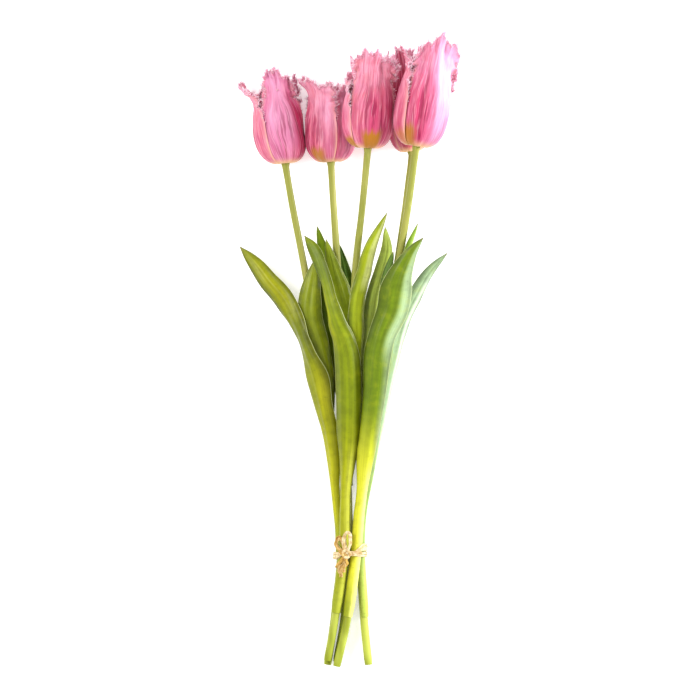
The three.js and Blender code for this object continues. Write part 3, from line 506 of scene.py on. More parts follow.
def skin_mesh(name, sheets, material):
    """Closed thin sheets as one mesh, each given by its middle points, thickness, places and values."""
    points, quads, places, extra, first = [], [], [], {}, 0
    for middle, thickness, across, along, values in sheets:
        rows, columns = middle.shape[:2]
        under = rows * columns
        normal = unit(np.cross(np.gradient(middle, axis=1), np.gradient(middle, axis=0)) + 1e-12)
        half = normal * np.broadcast_to(thickness, (rows, columns))[..., None] / 2
        points += [(middle + half).reshape(-1, 3), (middle - half).reshape(-1, 3)]
        number, front = numbered(rows, columns, first)
        edge = np.concatenate([number[0, :], number[1:, -1], number[-1, -2::-1], number[-2::-1, 0]])
        rim = np.stack([edge[:-1], edge[:-1] + under, edge[1:] + under, edge[1:]], -1)
        quads += [front, front[:, ::-1] + under, rim]
        places += [np.stack(np.meshgrid(across, along), -1).reshape(-1, 2)] * 2
        for label, value in values.items():
            value = np.broadcast_to(value, (rows, columns, *np.shape(value)[2:]))
            extra.setdefault(label, []).extend([value.reshape(under, -1)] * 2)
        first += 2 * under
    mesh = bpy.data.meshes.new(name)
    mesh.from_pydata(((np.vstack(points) - CENTRE) * MM).tolist(), [], np.vstack(quads).tolist())
    corners = np.empty(len(mesh.loops), np.int32)
    mesh.loops.foreach_get("vertex_index", corners)
    layer = mesh.uv_layers.new(name="across_along")
    layer.data.foreach_set("uv", np.vstack(places)[corners].astype(np.float32).ravel())
    for label, rows in extra.items():
        rows = np.concatenate(rows).astype(np.float32)
        kind, field = ("FLOAT_COLOR", "color") if rows.shape[1] == 4 else ("FLOAT", "value")
        mesh.attributes.new(label, kind, "POINT").data.foreach_set(field, rows.ravel())
    mesh.materials.append(material)
    mesh.shade_smooth()
    mesh.set_sharp_from_angle(angle=math.radians(SHARP_RIM))
    return mesh


def attribute(tree, name, out="Fac"):
    return put(tree, "ShaderNodeAttribute", attribute_name=name, out=out)


def across_and_along(tree):
    """Where a point is across its leaf or petal and along it, each from 0 to 1."""
    spread = put(tree, "ShaderNodeUVMap", uv_map="across_along")
    return [put(tree, "ShaderNodeSeparateXYZ", {0: spread}, out=axis) for axis in "XY"]


def apart(tree, first, second):
    """How far apart two values are."""
    return maths(tree, "ABSOLUTE", maths(tree, "SUBTRACT", first, second))


def grain_along(tree, across, along, lot, fineness, length, detail=2.0, rough=0.5):
    """Noise drawn out along a petal or a leaf, so many times finer across it than along it."""
    where = joined(tree, times(tree, across, fineness), times(tree, along, length), lot)
    return spots(tree, where, 1, detail, rough)


leaf_skin, tree, surface = start_material("leaf_skin", Roughness=0.36, Specular_IOR_Level=0.22)
across, along = across_and_along(tree)
off_middle = apart(tree, across, 0.5)
lot = attribute(tree, "lot")
bands = grain_along(tree, across, along, lot, 8, 3)
ribs = grain_along(tree, across, along, lot, 40, 4)
mottle = spots(tree, in_space(tree), 150, 3, 0.6)
specks = spots(tree, in_space(tree), 520, 1)
shade = times(
    tree,
    ramp(tree, bands, 0.3, 0.7, 0.88, 1.1),
    ramp(tree, ribs, 0.35, 0.65, 0.93, 1.06),
    # darker towards the margins: partly the leaves' own darker edges, partly painted shade on their curving
    # sides
    ramp(tree, off_middle, 0.15, 0.48, 1.12, 0.62),
    ramp(tree, mottle, 0.45, 0.7, 1.0, 0.84),
)
own_tint = {0: attribute(tree, "tint", "Color"), "Scale": shade}
painted(
    tree, surface, put(tree, "ShaderNodeVectorMath", own_tint, operation="SCALE"),
    (ramp(tree, mottle, 0.5, 0.3, 0, 0.18), 160, 164, 24),
    (ramp(tree, specks, 0.68, 0.76, 0, 0.22), 70, 84, 20),
    # the pale margin is partly the leaves' own paler edge, partly a painted rim highlight where the edge catches
    # the light
    (ramp(tree, off_middle, 0.482, 0.494, 0, 0.65), 214, 222, 160),  # the thin pale margin
    (ramp(tree, along, 0.975, 1.0, 0, 0.7), 124, 118, 78),  # and the dry tip
)
relief(tree, surface, ribs, 0.00015, 0.7)

for order, (name, leaf) in enumerate(LEAVES.items()):
    stem, node, opens, side, wave, blade_tint, sheath_tint, stations = leaf
    facing = math.radians(side)
    steps = max(1, round((opens - node) / SHEATH_STEP))
    sheath = stem_at(stem, node + (opens - node) * np.arange(steps + 1) / steps)
    sheath += SHEATH_RADIUS * np.array([math.cos(facing), 0, math.sin(facing)])
    wrapped = math.radians(SHEATH_WRAP) * SHEATH_RADIUS
    rows = [(*point, side, wrapped, SHEATH_WRAP) for point in sheath] + stations
    shares = np.arange(len(rows)) / (len(rows) - 1)
    midrib = through([row[:3] for row in rows])
    turn, width, curl = (profile([(s, row[k]) for s, row in zip(shares, rows)]) for k in (3, 4, 5))

    u, v = BLADE_COLUMNS[None, :], np.linspace(0, 1, BLADE_ROWS)[:, None]
    point, ahead = midrib(v), heading(midrib, v)
    distance = travelled(point[:, 0])[:, None]  # from the sheath's lower end, in millimetres
    angle, arc = np.radians(turn(v))[..., None], np.radians(curl(v))
    back = np.concatenate([np.cos(angle), 0 * angle, np.sin(angle)], -1)
    back = unit(back - (back * ahead).sum(-1, keepdims=True) * ahead)
    hug = FOOT_HUG * (1 - smooth(0, 9, distance))
    pointed = np.sqrt(1 - np.clip((v - 0.96) / 0.04, 0, 0.98) ** 2)
    radius = width(v) / arc * pointed - hug
    bow, shift, start = np.random.default_rng(100 + order).random(3)
    free = smooth(0.12, 0.35, v) * (1 - smooth(0.9, 1, v))
    opened = smooth(0.35, 0.6, v) * (1 - smooth(0.8, 1, v))
    ripple = RIPPLE * u * u * opened * sine(3 * v + wave + 0.2 * u)
    frill = FRILL * free * u**4 * sine(9 * v + start + 0.3 * np.sin(9 * v))
    folded = free * np.clip(width(v) / PLEATED_WIDTH, 0, 1) ** 2
    pleats = PLEAT * folded * sine(1.4 * u + 0.5 * np.sin(4 * v + 6 * bow) + shift)
    ribbing = RIB * sine(9.5 * u + 0.25) * smooth(0, 0.1, v)
    groove = GROOVE * np.exp(-((u / 0.07) ** 2)) * smooth(0.1, 0.3, v)
    lift = -radius * (1 - np.cos(u * arc / 2)) + ripple + pleats + frill + ribbing - groove - hug
    aside = radius * np.sin(u * arc / 2)
    grid = point + back * lift[..., None] + np.cross(ahead, back) * aside[..., None]
    grid[..., 2] = np.maximum(grid[..., 2], LOWEST_BLADE)
    thickness = BLADE_THICKNESS * (1 - 0.6 * u**6) * (1 - 0.4 * v)
    thickness = thickness + FOOT_RIM * np.exp(-(((distance - 1.2) / 1.1) ** 2))

    sheathed = 1 - smooth(opens - node, opens - node + SHEATH_FADE, distance)
    coats = [(sheathed, sheath_tint), (1 - smooth(2, 34, distance), FOOT_TINT)]
    # the patches, whose pale ones on the right-hand sides are painted highlights
    for low, high, left, right, strong, patch_tint in PATCHES_AND_HIGHLIGHTS.get(name, []):
        there = between(low, high, PATCH_EDGE[0], v) * between(left, right, PATCH_EDGE[1], u)
        coats.append((strong * there, patch_tint))
    colours = np.broadcast_to(tint(*blade_tint), (BLADE_ROWS, len(BLADE_COLUMNS), 4))
    for share, coat in coats:
        colours = colours + share[..., None] * (np.array(tint(*coat)) - colours)
    blade = (grid, thickness, (BLADE_COLUMNS + 1) / 2, v[:, 0], {"lot": 7.0 * order, "tint": colours})
    place(name + "_blade", skin_mesh(name + "_blade", [blade], leaf_skin), "leaf", name)

# ---- Petals ---------------------------------------------------------------------------------------------------
# Each bloom is a closed cup of three outer and three inner petals: thin, satiny, softly ribbed tissue, one at
# their feet. A petal is a patch of the bloom's cup, given two faces and a rim, and ruffled near its margin.

PETAL_ROOM = 0.7  # what a petal takes of the cup's wall
WHORL_GAP = 2.45  # from the middle of an inner petal to the middle of an outer one
FOOT_GAP = 1.35  # the same at their feet
MARGIN_GAP = 1.1  # and at an outer petal's lower margins, which close onto the inner petals
PETAL_LAP = 0.75  # one edge of a petal rides out by this and the other in
TIP_DROP = 0.25  # how far an opened tip comes down, as a share of how far it opens
FOOT_RADIUS = 2.6
SOFTNESS = 1.2  # how softly a flat side of the cup runs into the round
FLAT_WITHIN = 0.3  # cosine of the angle to each side that a flat reaches
PETAL_THICKNESS = 0.5  # of the tissue, which thins to its margin and its top
LOWEST_PETAL = 0.3  # the middle of a petal that lies on the table
# Depths, for an inner and for an outer petal: the waves of its margins, its uneven top, and its lip turned back
RUFFLE, CRUMPLE, LIP = (1.0, 1.6), (0.55, 1.3), (0.4, 2.4)
# and for all petals: broad folds, dimples, fine ribs, and the groove up the middle
FOLD, DIMPLE, FINE_RIB, MIDDLE_GROOVE = 0.42, 0.12, 0.09, 0.4
RAGGED_SIDES, RAGGED_TOP = 0.045, 0.03  # how far a margin wanders, as a share of the petal's width and length
CLEARANCE = 0.9  # between the middles of two petals that lie on each other
DEEPEST_CROSSING = 3
cup_radius = profile([
    (0, 0), (0.05, 0.31), (0.11, 0.61), (0.18, 0.83), (0.28, 0.98), (0.4, 1.0), (0.54, 0.885), (0.68, 0.69),
    (0.8, 0.58), (0.9, 0.545), (1, 0.57),
])
cup_height = profile([
    (0, 0.02), (0.05, 0.005), (0.11, 0.035), (0.18, 0.1), (0.28, 0.21), (0.4, 0.35), (0.54, 0.51), (0.68, 0.66),
    (0.8, 0.79), (0.9, 0.89), (1, 0.98),
])
petal_reach = profile([
    (0, 59), (0.1, 62), (0.22, 65), (0.4, 66), (0.55, 64), (0.66, 57), (0.78, 51), (0.9, 47), (1, 42),
])
# A petal unless its bloom says otherwise: its length as a share of the bloom's height, how far its tip opens
# and leans, how wide its tip is, where across that peaks and how far its sides drop from there, how deep its
# folds are, how strong and how far across are its crimson blush, its orange foot and its pale wash, and how
# lilac it is. The crimson blush is partly the tulip's own flame and partly painted shade, strongest on petals
# that lie in other blooms' shade; the pale wash is partly paler tissue and partly a painted highlight. Ways are
# in degrees: 0 up, 90 towards +X.
PLAIN_PETAL = dict(length=0.88, flare=0, lean=0, tip=1, peak=0, drop=0.13, folds=1,
                   crimson=0.5, crimson_at=0.5, orange=0, orange_at=0.5, pale=0, pale_at=0.5, cool=0)
PETAL_COLOURS_AND_PAINTED_LIGHT = ("crimson", "crimson_at", "orange", "orange_at", "pale", "pale_at", "cool")
# Each bloom: its sizes, the flats it is pressed to and where its rim opens, as (way, millimetres), its petals
BLOOMS = [
    dict(
        radius=18.4, height=67, bow=-2.5, pressed=[(180, 17.6), (86, 17.4)], opens=[(95, 5), (20, 2)],
        outer=[
            dict(way=22, length=1.0, lean=-26, tip=0.85, peak=-0.2, crimson=1.9, crimson_at=0.92, orange=0.1,
                 pale=0.45, pale_at=0.4, cool=0.8),
            dict(way=-98, length=0.9, flare=11, tip=0.8, crimson=0.5),
            # the petals on its right lie in bloom 2's shade: their strong crimson is partly painted shade
            dict(way=142, length=0.84, flare=1, crimson=2.4, cool=0.6),
        ],
        inner=[
            dict(way=-38, length=0.86, tip=0.9, orange=0.4, crimson=0.4),
            dict(way=82, crimson=1.4, cool=0.6), dict(way=202, length=0.9, crimson=0.8),
        ],
    ),
    dict(
        radius=18.2, height=61, bow=0.5, pressed=[(-94, 17.2)], opens=[(-45, 5), (75, 4)],
        outer=[
            dict(way=-50, length=0.98, tip=1.3, peak=-0.3, drop=0.12, folds=1.8, crimson=0.8, crimson_at=0.3,
                 orange=0.9, orange_at=0.6, pale=0.3, pale_at=0.95),
            dict(way=68, length=0.9, peak=0.2, folds=1.3, crimson=0.8, crimson_at=0.15, pale=0.5, pale_at=0.45),
            dict(way=188, length=0.84, crimson=0.8),
        ],
        inner=[
            dict(way=8, tip=1.1, crimson=0.6), dict(way=128, length=0.86, crimson=0.6),
            dict(way=-112, length=0.8, crimson=0.8),
        ],
    ),
    dict(
        radius=18.9, height=69, bow=0, pressed=[(74, 18)], opens=[(-75, 8), (100, 3)],
        outer=[
            dict(way=8, length=1.0, lean=4, tip=1.25, peak=-0.3, crimson=1.2, crimson_at=0.76, orange=1.3),
            dict(way=-112, length=0.74, orange=1.2, orange_at=0.85, crimson=0.8),
            # the petals on its right lie in bloom 4's shade: their strong crimson is partly painted shade
            dict(way=128, length=0.9, flare=3, orange=0.2, orange_at=0.3, crimson=2.0),
        ],
        inner=[
            dict(way=-52, lean=-24, tip=0.8, orange=0.3, crimson=0.6),
            dict(way=68, length=0.94, orange=0.2, crimson=2.2), dict(way=188, length=0.9, crimson=0.6),
        ],
    ),
    dict(
        radius=19.8, height=80, bow=0.5, pressed=[(-106, 18.9)], opens=[(95, 8), (-40, 1)],
        outer=[
            dict(way=18, length=1.0, lean=4, tip=1.3, peak=0.05, drop=0.2, crimson=1.3, crimson_at=0.36,
                 orange=0.9, orange_at=0.12, pale=1.0, pale_at=0.78, cool=0.4),
            dict(way=-102, length=0.82, orange=0.6, orange_at=0.9, crimson=0.7),
            dict(way=138, length=0.74, flare=2, crimson=0.4, pale=0.5),
        ],
        inner=[
            dict(way=-42, length=0.86, orange=1.3, crimson=0.9),
            dict(way=78, length=0.9, tip=1.1, crimson=0.4, pale=0.5), dict(way=198, length=0.82, crimson=0.6),
        ],
    ),
    # Bloom 5 lies under blooms 3 and 4, in their shade: its strong crimson is partly painted shade.
    dict(
        radius=15.6, height=74, bow=0, pressed=[(180, 15)], opens=[(-40, 1)],
        outer=[
            dict(way=8, length=1.0, lean=-10, tip=0.7, crimson=3.0),
            dict(way=128, length=0.86, flare=1, crimson=2.0), dict(way=-112, length=0.9, flare=1, crimson=3.0),
        ],
        inner=[
            dict(way=68, length=0.8, crimson=1.4), dict(way=188, crimson=1.0),
            dict(way=-52, length=0.86, crimson=2.0),
        ],
    ),
]


class Bloom:
    """The axis of a bloom and the cup that its inner petals lie in."""

    def __init__(self, number):
        vars(self).update(BLOOMS[number])
        self.axis = bloom_axis(number)
        self.right = unit(np.cross(self.axis, [0, 0, 1]))
        self.up = np.cross(self.right, self.axis)
        self.foot = np.array(STEM_PATHS[number][-1]) + self.axis * FOOT_ABOVE_STEM

    def place(self, radius, way, height):
        """The point at a radius, a way and a height."""
        angle = np.radians(way)
        aside = self.bow * np.sin(np.pi * np.maximum(height, 0) / self.height)
        return (
            self.foot
            + self.axis * np.asarray(height, float)[..., None]
            + self.up * (radius * np.cos(angle))[..., None]
            + self.right * (radius * np.sin(angle) + aside)[..., None]
        )

    def cup(self, share, way):
        """The cup's radius and height at a share of the way from foot to rim."""
        inside = self.radius - WHORL_GAP - PETAL_ROOM / 2
        radius = FOOT_RADIUS + (inside - FOOT_RADIUS) * cup_radius(share)
        for centre, distance in self.pressed:
            facing = np.cos(np.radians(way - centre))
            limit = (distance - WHORL_GAP - PETAL_ROOM / 2) / np.maximum(facing, FLAT_WITHIN)
            part = np.clip(0.5 + 0.5 * (limit - radius) / SOFTNESS, 0, 1)
            kept = limit + (radius - limit) * part - SOFTNESS * part * (1 - part)
            radius = np.where(facing > FLAT_WITHIN, kept, radius)
        for centre, amount in self.opens:
            facing = np.cos(np.radians(way - centre))
            radius = radius + amount * np.exp(3 * (facing - 1)) * smooth(0.6, 1.05, share)
        return radius, self.height * cup_height(share)

    def petal(self, outer, shape, u, v):
        """Points of a petal's middle surface, for u from -1 to 1 across and v from 0 to 1 along."""
        along = v * (1 - shape["drop"] * np.abs(u - shape["peak"]) ** 1.5 * smooth(0.45, 1, v))
        share = shape["length"] * along
        narrowed = 1 + (shape["tip"] - 1) * smooth(0.5, 0.8, along)
        angle = shape["way"] + shape["lean"] * along**2 + u * petal_reach(along) * narrowed
        open_out = smooth(0, 0.25, share)
        gap = 0
        if outer:
            closed = u**4 * open_out * (1 - smooth(0.3, 0.6, share))
            gap = FOOT_GAP + (WHORL_GAP - FOOT_GAP) * open_out - (WHORL_GAP - MARGIN_GAP) * closed
        offset = gap + PETAL_LAP * u * open_out
        (radius, height), (radius_on, height_on) = self.cup(share, angle), self.cup(share + 0.01, angle)
        run = np.hypot(radius_on - radius, height_on - height)
        tip = shape["flare"] * smooth(0.6, 1.05, along)
        outward = radius + offset * (height_on - height) / run + tip
        return self.place(outward, angle, height - offset * (radius_on - radius) / run - TIP_DROP * tip)


def placed(tree, across, place, reach):
    """How near a point is to a place across the petal: 1 there and 0 past the reach."""
    return ramp(tree, apart(tree, across, attribute(tree, place)), reach, 0.3 * reach)


def at_most(tree, value, limit):
    return maths(tree, "MINIMUM", value, limit)


petal_skin, tree, surface = start_material(
    "petal_skin", Roughness=0.5, Specular_IOR_Level=0.3, Sheen_Weight=0.12, Sheen_Roughness=0.4,
    Sheen_Tint=(0.96, 0.86, 1.0, 1), Subsurface_Weight=0.06, Subsurface_Scale=0.0015,
    Subsurface_Radius=(1.0, 0.35, 0.45),
)
across, along = across_and_along(tree)
off_middle = apart(tree, across, 0.5)
lot, crimson = attribute(tree, "lot"), attribute(tree, "crimson")


def petal_grain(across, step, *sizes):
    """A grain of its own, by its step from the petal's lot."""
    return grain_along(tree, across, along, maths(tree, "ADD", lot, step), *sizes)


wander = maths(tree, "SUBTRACT", petal_grain(across, 11, 2.2, 2.6), 0.5)
wavy = maths(tree, "ADD", across, times(tree, wander, 0.16))
streaks = petal_grain(wavy, 0, 19, 2.6, 2, 0.55)
veins = petal_grain(wavy, 0, 54, 5, 2)
thick_streaks = petal_grain(wavy, 31, 6.5, 1.5, 4, 0.6)
broad = petal_grain(wavy, 57, 3.6, 1.4, 3, 0.6)
patchy = petal_grain(wavy, 83, 6, 3.2, 3, 0.6)
clouds = spots(tree, in_space(tree), 110, 3)
low = times(tree, ramp(tree, along, 0.03, 0.18), ramp(tree, along, 0.4, 0.85, 1, 0.22))
# the crimson blush: partly the tulip's own flame, partly painted shade where a shaded petal's crimson is raised
blush_and_painted_shade = times(tree, ramp(tree, broad, 0.26, 0.52), low, placed(tree, wavy, "crimson_at", 0.5), crimson, 0.55)
dark = times(
    tree, ramp(tree, streaks, 0.46, 0.56), ramp(tree, patchy, 0.34, 0.5, 0.2, 1), low,
    ramp(tree, off_middle, 0.1, 0.45, 1, 0.2), ramp(tree, crimson, 0, 1, 0.2, 0.9),
)
# the pale wash: partly paler tissue, partly a painted highlight
pale_wash_and_highlight = times(
    tree, placed(tree, wavy, "pale_at", 0.4), ramp(tree, along, 0.1, 0.6, 0.25, 1), attribute(tree, "pale"),
    ramp(tree, patchy, 0.66, 0.4, 0.5, 1),
)
rim = times(tree, ramp(tree, off_middle, 0.465, 0.485), ramp(tree, along, 0.45, 0.15, 0.2, 0.75))
foot = maths(tree, "ADD", along, times(tree, streaks, -0.14))
orange = times(tree, ramp(tree, foot, 0.21, 0.12), placed(tree, wavy, "orange_at", 0.24))
orange = times(tree, orange, attribute(tree, "orange"))
painted(
    tree, surface, tint(192, 84, 118),
    (ramp(tree, along, 0.3, 0.95), 220, 148, 172),
    (ramp(tree, clouds, 0.38, 0.66, 0, 0.6), 206, 104, 120),
    (ramp(tree, thick_streaks, 0.45, 0.68, 0, 0.65), 230, 158, 182),
    (times(tree, attribute(tree, "cool"), 0.6), 196, 92, 150),
    # crimson blush, partly painted shade
    (at_most(tree, blush_and_painted_shade, 0.9), 182, 30, 84),
    (dark, 138, 10, 62),
    (ramp(tree, veins, 0.54, 0.66, 0, 0.42), 166, 46, 92),
    (ramp(tree, veins, 0.46, 0.34, 0, 0.3), 244, 184, 202),
    # pale wash, partly a painted highlight
    (at_most(tree, pale_wash_and_highlight, 0.8), 232, 176, 212),
    (ramp(tree, off_middle, 0.4, 0.5, 0, 0.5), 230, 162, 164),
    (rim, 238, 180, 150),
    (ramp(tree, along, 0.15, 0.03, 0, 0.95), 232, 190, 118),  # the pale foot
    (at_most(tree, orange, 0.95), 168, 108, 0),
)
relief(tree, surface, veins, 0.00025, 0.7)

PETAL_ROWS = 0.5 - 0.5 * np.cos(np.pi * np.linspace(0, 1, 66) * 0.92)  # closer at the foot and the top
PETAL_ROWS = (PETAL_ROWS - PETAL_ROWS[0]) / (PETAL_ROWS[-1] - PETAL_ROWS[0])
PETAL_COLUMNS = np.array([-1, -0.985, *np.linspace(-0.96, 0.96, 37), 0.985, 1])


def waves(x, chance, *counts):
    """Uneven waves along x: a sum of sines with these numbers of turns, each half as strong as the last."""
    return sum(sine(count * x + chance.random()) / 2**k for k, count in enumerate(counts))


def ruffled(bloom, outer, shape, chance):
    """A petal's grid of middle points with its ribs, ruffles and ragged margin, and the way that each faces."""
    u, v = PETAL_COLUMNS[None, :], PETAL_ROWS[:, None]
    side = np.where(u < 0, v, -v)  # so that the two margins differ
    wide = 1 + RAGGED_SIDES * waves(side, chance, 7, 13, 19) * smooth(0.45, 0.7, v) * np.abs(u) ** 5
    tall = 1 + RAGGED_TOP * waves(u, chance, 1.5, 3.5, 6) * smooth(0.8, 1, v)
    grid = bloom.petal(outer, shape, u * wide, v * tall + 0 * u)
    normal = unit(np.cross(np.gradient(grid, axis=1), np.gradient(grid, axis=0)))
    ruffle = smooth(0.5, 0.85, v) * np.abs(u) ** 3 * waves(side + 0.1 * u, chance, 4.5, 9)
    crumple = smooth(0.6, 1, v) * waves(u + 0.6 * v, chance, 0.9, 2.1, 4, 7)
    folds = smooth(0.06, 0.3, v) * waves(u + 0.14 * np.sin(3 * v), chance, 1.5, 3.3)
    dimples = smooth(0.15, 0.4, v) * waves(v + 0.3 * u, chance, 2.3, 5) * waves(u - 0.2 * v, chance, 2.1, 4.7)
    ribs = smooth(0.03, 0.15, v) * waves(u + 0.05 * np.sin(4 * v), chance, 8, 13)
    groove = np.exp(-((u / 0.1) ** 2)) * smooth(0.0, 0.08, v) * (1 - smooth(0.35, 0.8, v))
    lift = RUFFLE[outer] * ruffle + CRUMPLE[outer] * crumple + LIP[outer] * smooth(0.82, 1, v) ** 2
    lift = lift + FOLD * shape["folds"] * folds + DIMPLE * dimples + FINE_RIB * ribs - MIDDLE_GROOVE * groove
    grid = grid + normal * lift[..., None]
    grid[..., 2] = np.maximum(grid[..., 2], LOWEST_PETAL)
    return grid, normal


def sheet(grid):
    """A grid's faces, for finding what lies near them."""
    return BVHTree.FromPolygons(grid.reshape(-1, 3).tolist(), numbered(*grid.shape[:2])[1].tolist())


def distances(starts, ways, sheets, limit):
    """How far it is from each start, its own way, to the nearest of the sheets, up to a limit."""
    found = []
    for start, way in zip(starts.reshape(-1, 3), ways.reshape(-1, 3)):
        met = [tree.ray_cast(Vector(start), Vector(way), limit)[3] for tree in sheets]
        found.append(min([limit, *(distance for distance in met if distance is not None)]))
    return np.array(found).reshape(starts.shape[:-1])


def tucked(grid, normal, covers):
    """An inner petal's grid pressed in, softly, wherever it would touch the outer petals that cover it."""
    above = distances(grid, normal, covers, CLEARANCE)
    below = distances(grid, -normal, covers, DEEPEST_CROSSING)
    push = np.where(below < DEEPEST_CROSSING, below + CLEARANCE, CLEARANCE - above)
    for _ in range(8):
        wide = np.pad(push, 1, "edge")
        around = (wide[:-2, 1:-1] + wide[2:, 1:-1] + wide[1:-1, :-2] + wide[1:-1, 2:]) / 4
        push = np.maximum(push, around)
    return grid - normal * push[..., None]


# ---- Fringe ---------------------------------------------------------------------------------------------------
# The upper half of every petal's margin is cut into pale, stiff, curling needles that stand in tufts, in four
# ranks. They are spaced evenly along the margin, each with a random length and turn.

# Each rank of needles: how far in from the margin it stands, how far it leans off the petal's face, its size,
# and the share of the petal's length where it starts
FRINGE_RANKS = [(0.1, 0.1, 1.0, 0.5), (0.3, -0.35, 0.8, 0.55), (0.7, 0.5, 0.65, 0.62), (1.5, 0.9, 0.4, 0.84)]
NEEDLE_SPACING = 0.00095  # this and the next two in metres
NEEDLE_LENGTH = 0.0032
NEEDLE_WIDTH = 0.0004
NEEDLE_CURL = 0.5  # how far aside its tip bends, as a share of its length
NEEDLE_SWAY = 0.12  # how far its foot leans at random, in radians
NEEDLE_RISE = 0.4  # how far it leans towards the petal's top
ROOT_DEPTH = 0.12  # how far its root stands off the middle of the petal's tissue
TUFT_LENGTH = 5.5
TUFT_LEAN = 0.22  # how far needles lean together into tufts
EVENED = 7  # points over which a margin is evened out before its needles are aimed
LONGEST_NEEDLE = 4  # at full size
WIDEST_CURL = 2.2  # how far to the side it may reach
NEEDLE_ROOM = 0.8  # share of the way to another petal that a needle may take up
BENDS_BELOW = 1.0  # height at which the needles under a bloom start to bend away from the table
LOWEST_NEEDLE = 0.15

needle_skin, tree, surface = start_material(
    "fringe_skin", Roughness=0.4, Specular_IOR_Level=0.5, Subsurface_Weight=0.35, Subsurface_Scale=0.001,
    Subsurface_Radius=(1.0, 0.5, 0.6),
)
painted(
    tree, surface, tint(226, 126, 160),
    (ramp(tree, attribute(tree, "along"), 0.05, 0.75), 252, 210, 226),
    (ramp(tree, spots(tree, in_space(tree), 240), 0.5, 0.7, 0, 0.5), 208, 108, 142),
    (ramp(tree, spots(tree, in_space(tree), 420), 0.55, 0.7, 0, 0.6), 252, 220, 230),
)


def random_value(tree, kind, low, high, seed, step):
    """A random value for each point. The step keeps this node's draws apart from another's."""
    node = tree.nodes.new("FunctionNodeRandomValue")
    node.data_type = kind
    wanted = "VECTOR" if kind == "FLOAT_VECTOR" else "VALUE"
    limits = [socket for socket in node.inputs if socket.type == wanted and socket.enabled]
    limits[0].default_value, limits[1].default_value = low, high
    tree.links.new(maths(tree, "ADD", seed, step), node.inputs["Seed"])
    return next(socket for socket in node.outputs if socket.type == wanted and socket.enabled)


# Needles planted on lines of roots whose points say which way they point and how big they are.
tree, sizes = start_tree(
    "fringe", Spacing=("Float", NEEDLE_SPACING), Length=("Float", NEEDLE_LENGTH), Width=("Float", NEEDLE_WIDTH),
    Curl=("Float", NEEDLE_CURL),
)
fringe_tree, length, seed = tree, sizes["Length"], sizes["Seed"]
line = put(tree, "GeometryNodeMeshToCurve", {"Mesh": sizes["Geometry"]})
roots = put(tree, "GeometryNodeCurveToPoints", {"Curve": line, "Length": sizes["Spacing"]}, mode="LENGTH")
ends = {
    "Resolution": 3,
    "Start": joined(tree, 0.0, 0.0, times(tree, length, -0.1)),
    "Middle": joined(tree, 0.0, 0.0, times(tree, length, 0.6)),
    "End": joined(tree, times(tree, length, sizes["Curl"]), 0.0, times(tree, length, 0.9)),
}
line = put(tree, "GeometryNodeCurveQuadraticBezier", ends)
along = put(tree, "GeometryNodeSplineParameter")
line = noted(tree, line, "along", along)
section = put(tree, "GeometryNodeCurvePrimitiveCircle", {"Resolution": 3, "Radius": 1.0}, mode="RADIUS")
section = put(tree, "GeometryNodeTransform", {"Geometry": section, "Scale": (1.0, 0.6, 1.0)})
taper = times(tree, ramp(tree, along, 0.0, 1.0, 1.0, 0.55), sizes["Width"])
needle = {"Curve": line, "Profile Curve": section, "Scale": taper, "Fill Caps": True}
needle = put(tree, "GeometryNodeCurveToMesh", needle)
aim = put(tree, "FunctionNodeAlignRotationToVector", {"Vector": named(tree, "out", "FLOAT_VECTOR")}, axis="Z")
most = (NEEDLE_SWAY, NEEDLE_SWAY, math.pi)
loose = random_value(tree, "FLOAT_VECTOR", [-angle for angle in most], most, seed, 11)
loose = put(tree, "FunctionNodeEulerToRotation", {0: loose})
aim = put(tree, "FunctionNodeRotateRotation", {"Rotation": aim, "Rotate By": loose}, rotation_space="LOCAL")
size = times(tree, named(tree, "size"), random_value(tree, "FLOAT", 0.6, 1.15, seed, 29))
girth = at_most(tree, maths(tree, "ADD", times(tree, size, 0.5), 0.5), times(tree, size, 5.0))
scale = joined(tree, girth, girth, size)
planted = {"Points": roots, "Instance": needle, "Rotation": aim, "Scale": scale}
end_tree(tree, put(tree, "GeometryNodeInstanceOnPoints", planted), sizes["Material"])


def round_margin(grid, first):
    """The values of a grid up its left margin from a row, over its top and down its right margin."""
    return np.concatenate([grid[first:, 0], grid[-1, 1:-1], grid[first:, -1][::-1]])


def evened(line):
    """A line of points with its smallest turns taken out."""
    wide = np.pad(line, ((EVENED // 2, EVENED // 2), (0, 0)), "edge")
    return np.stack([np.convolve(column, np.ones(EVENED) / EVENED, "valid") for column in wide.T], -1)


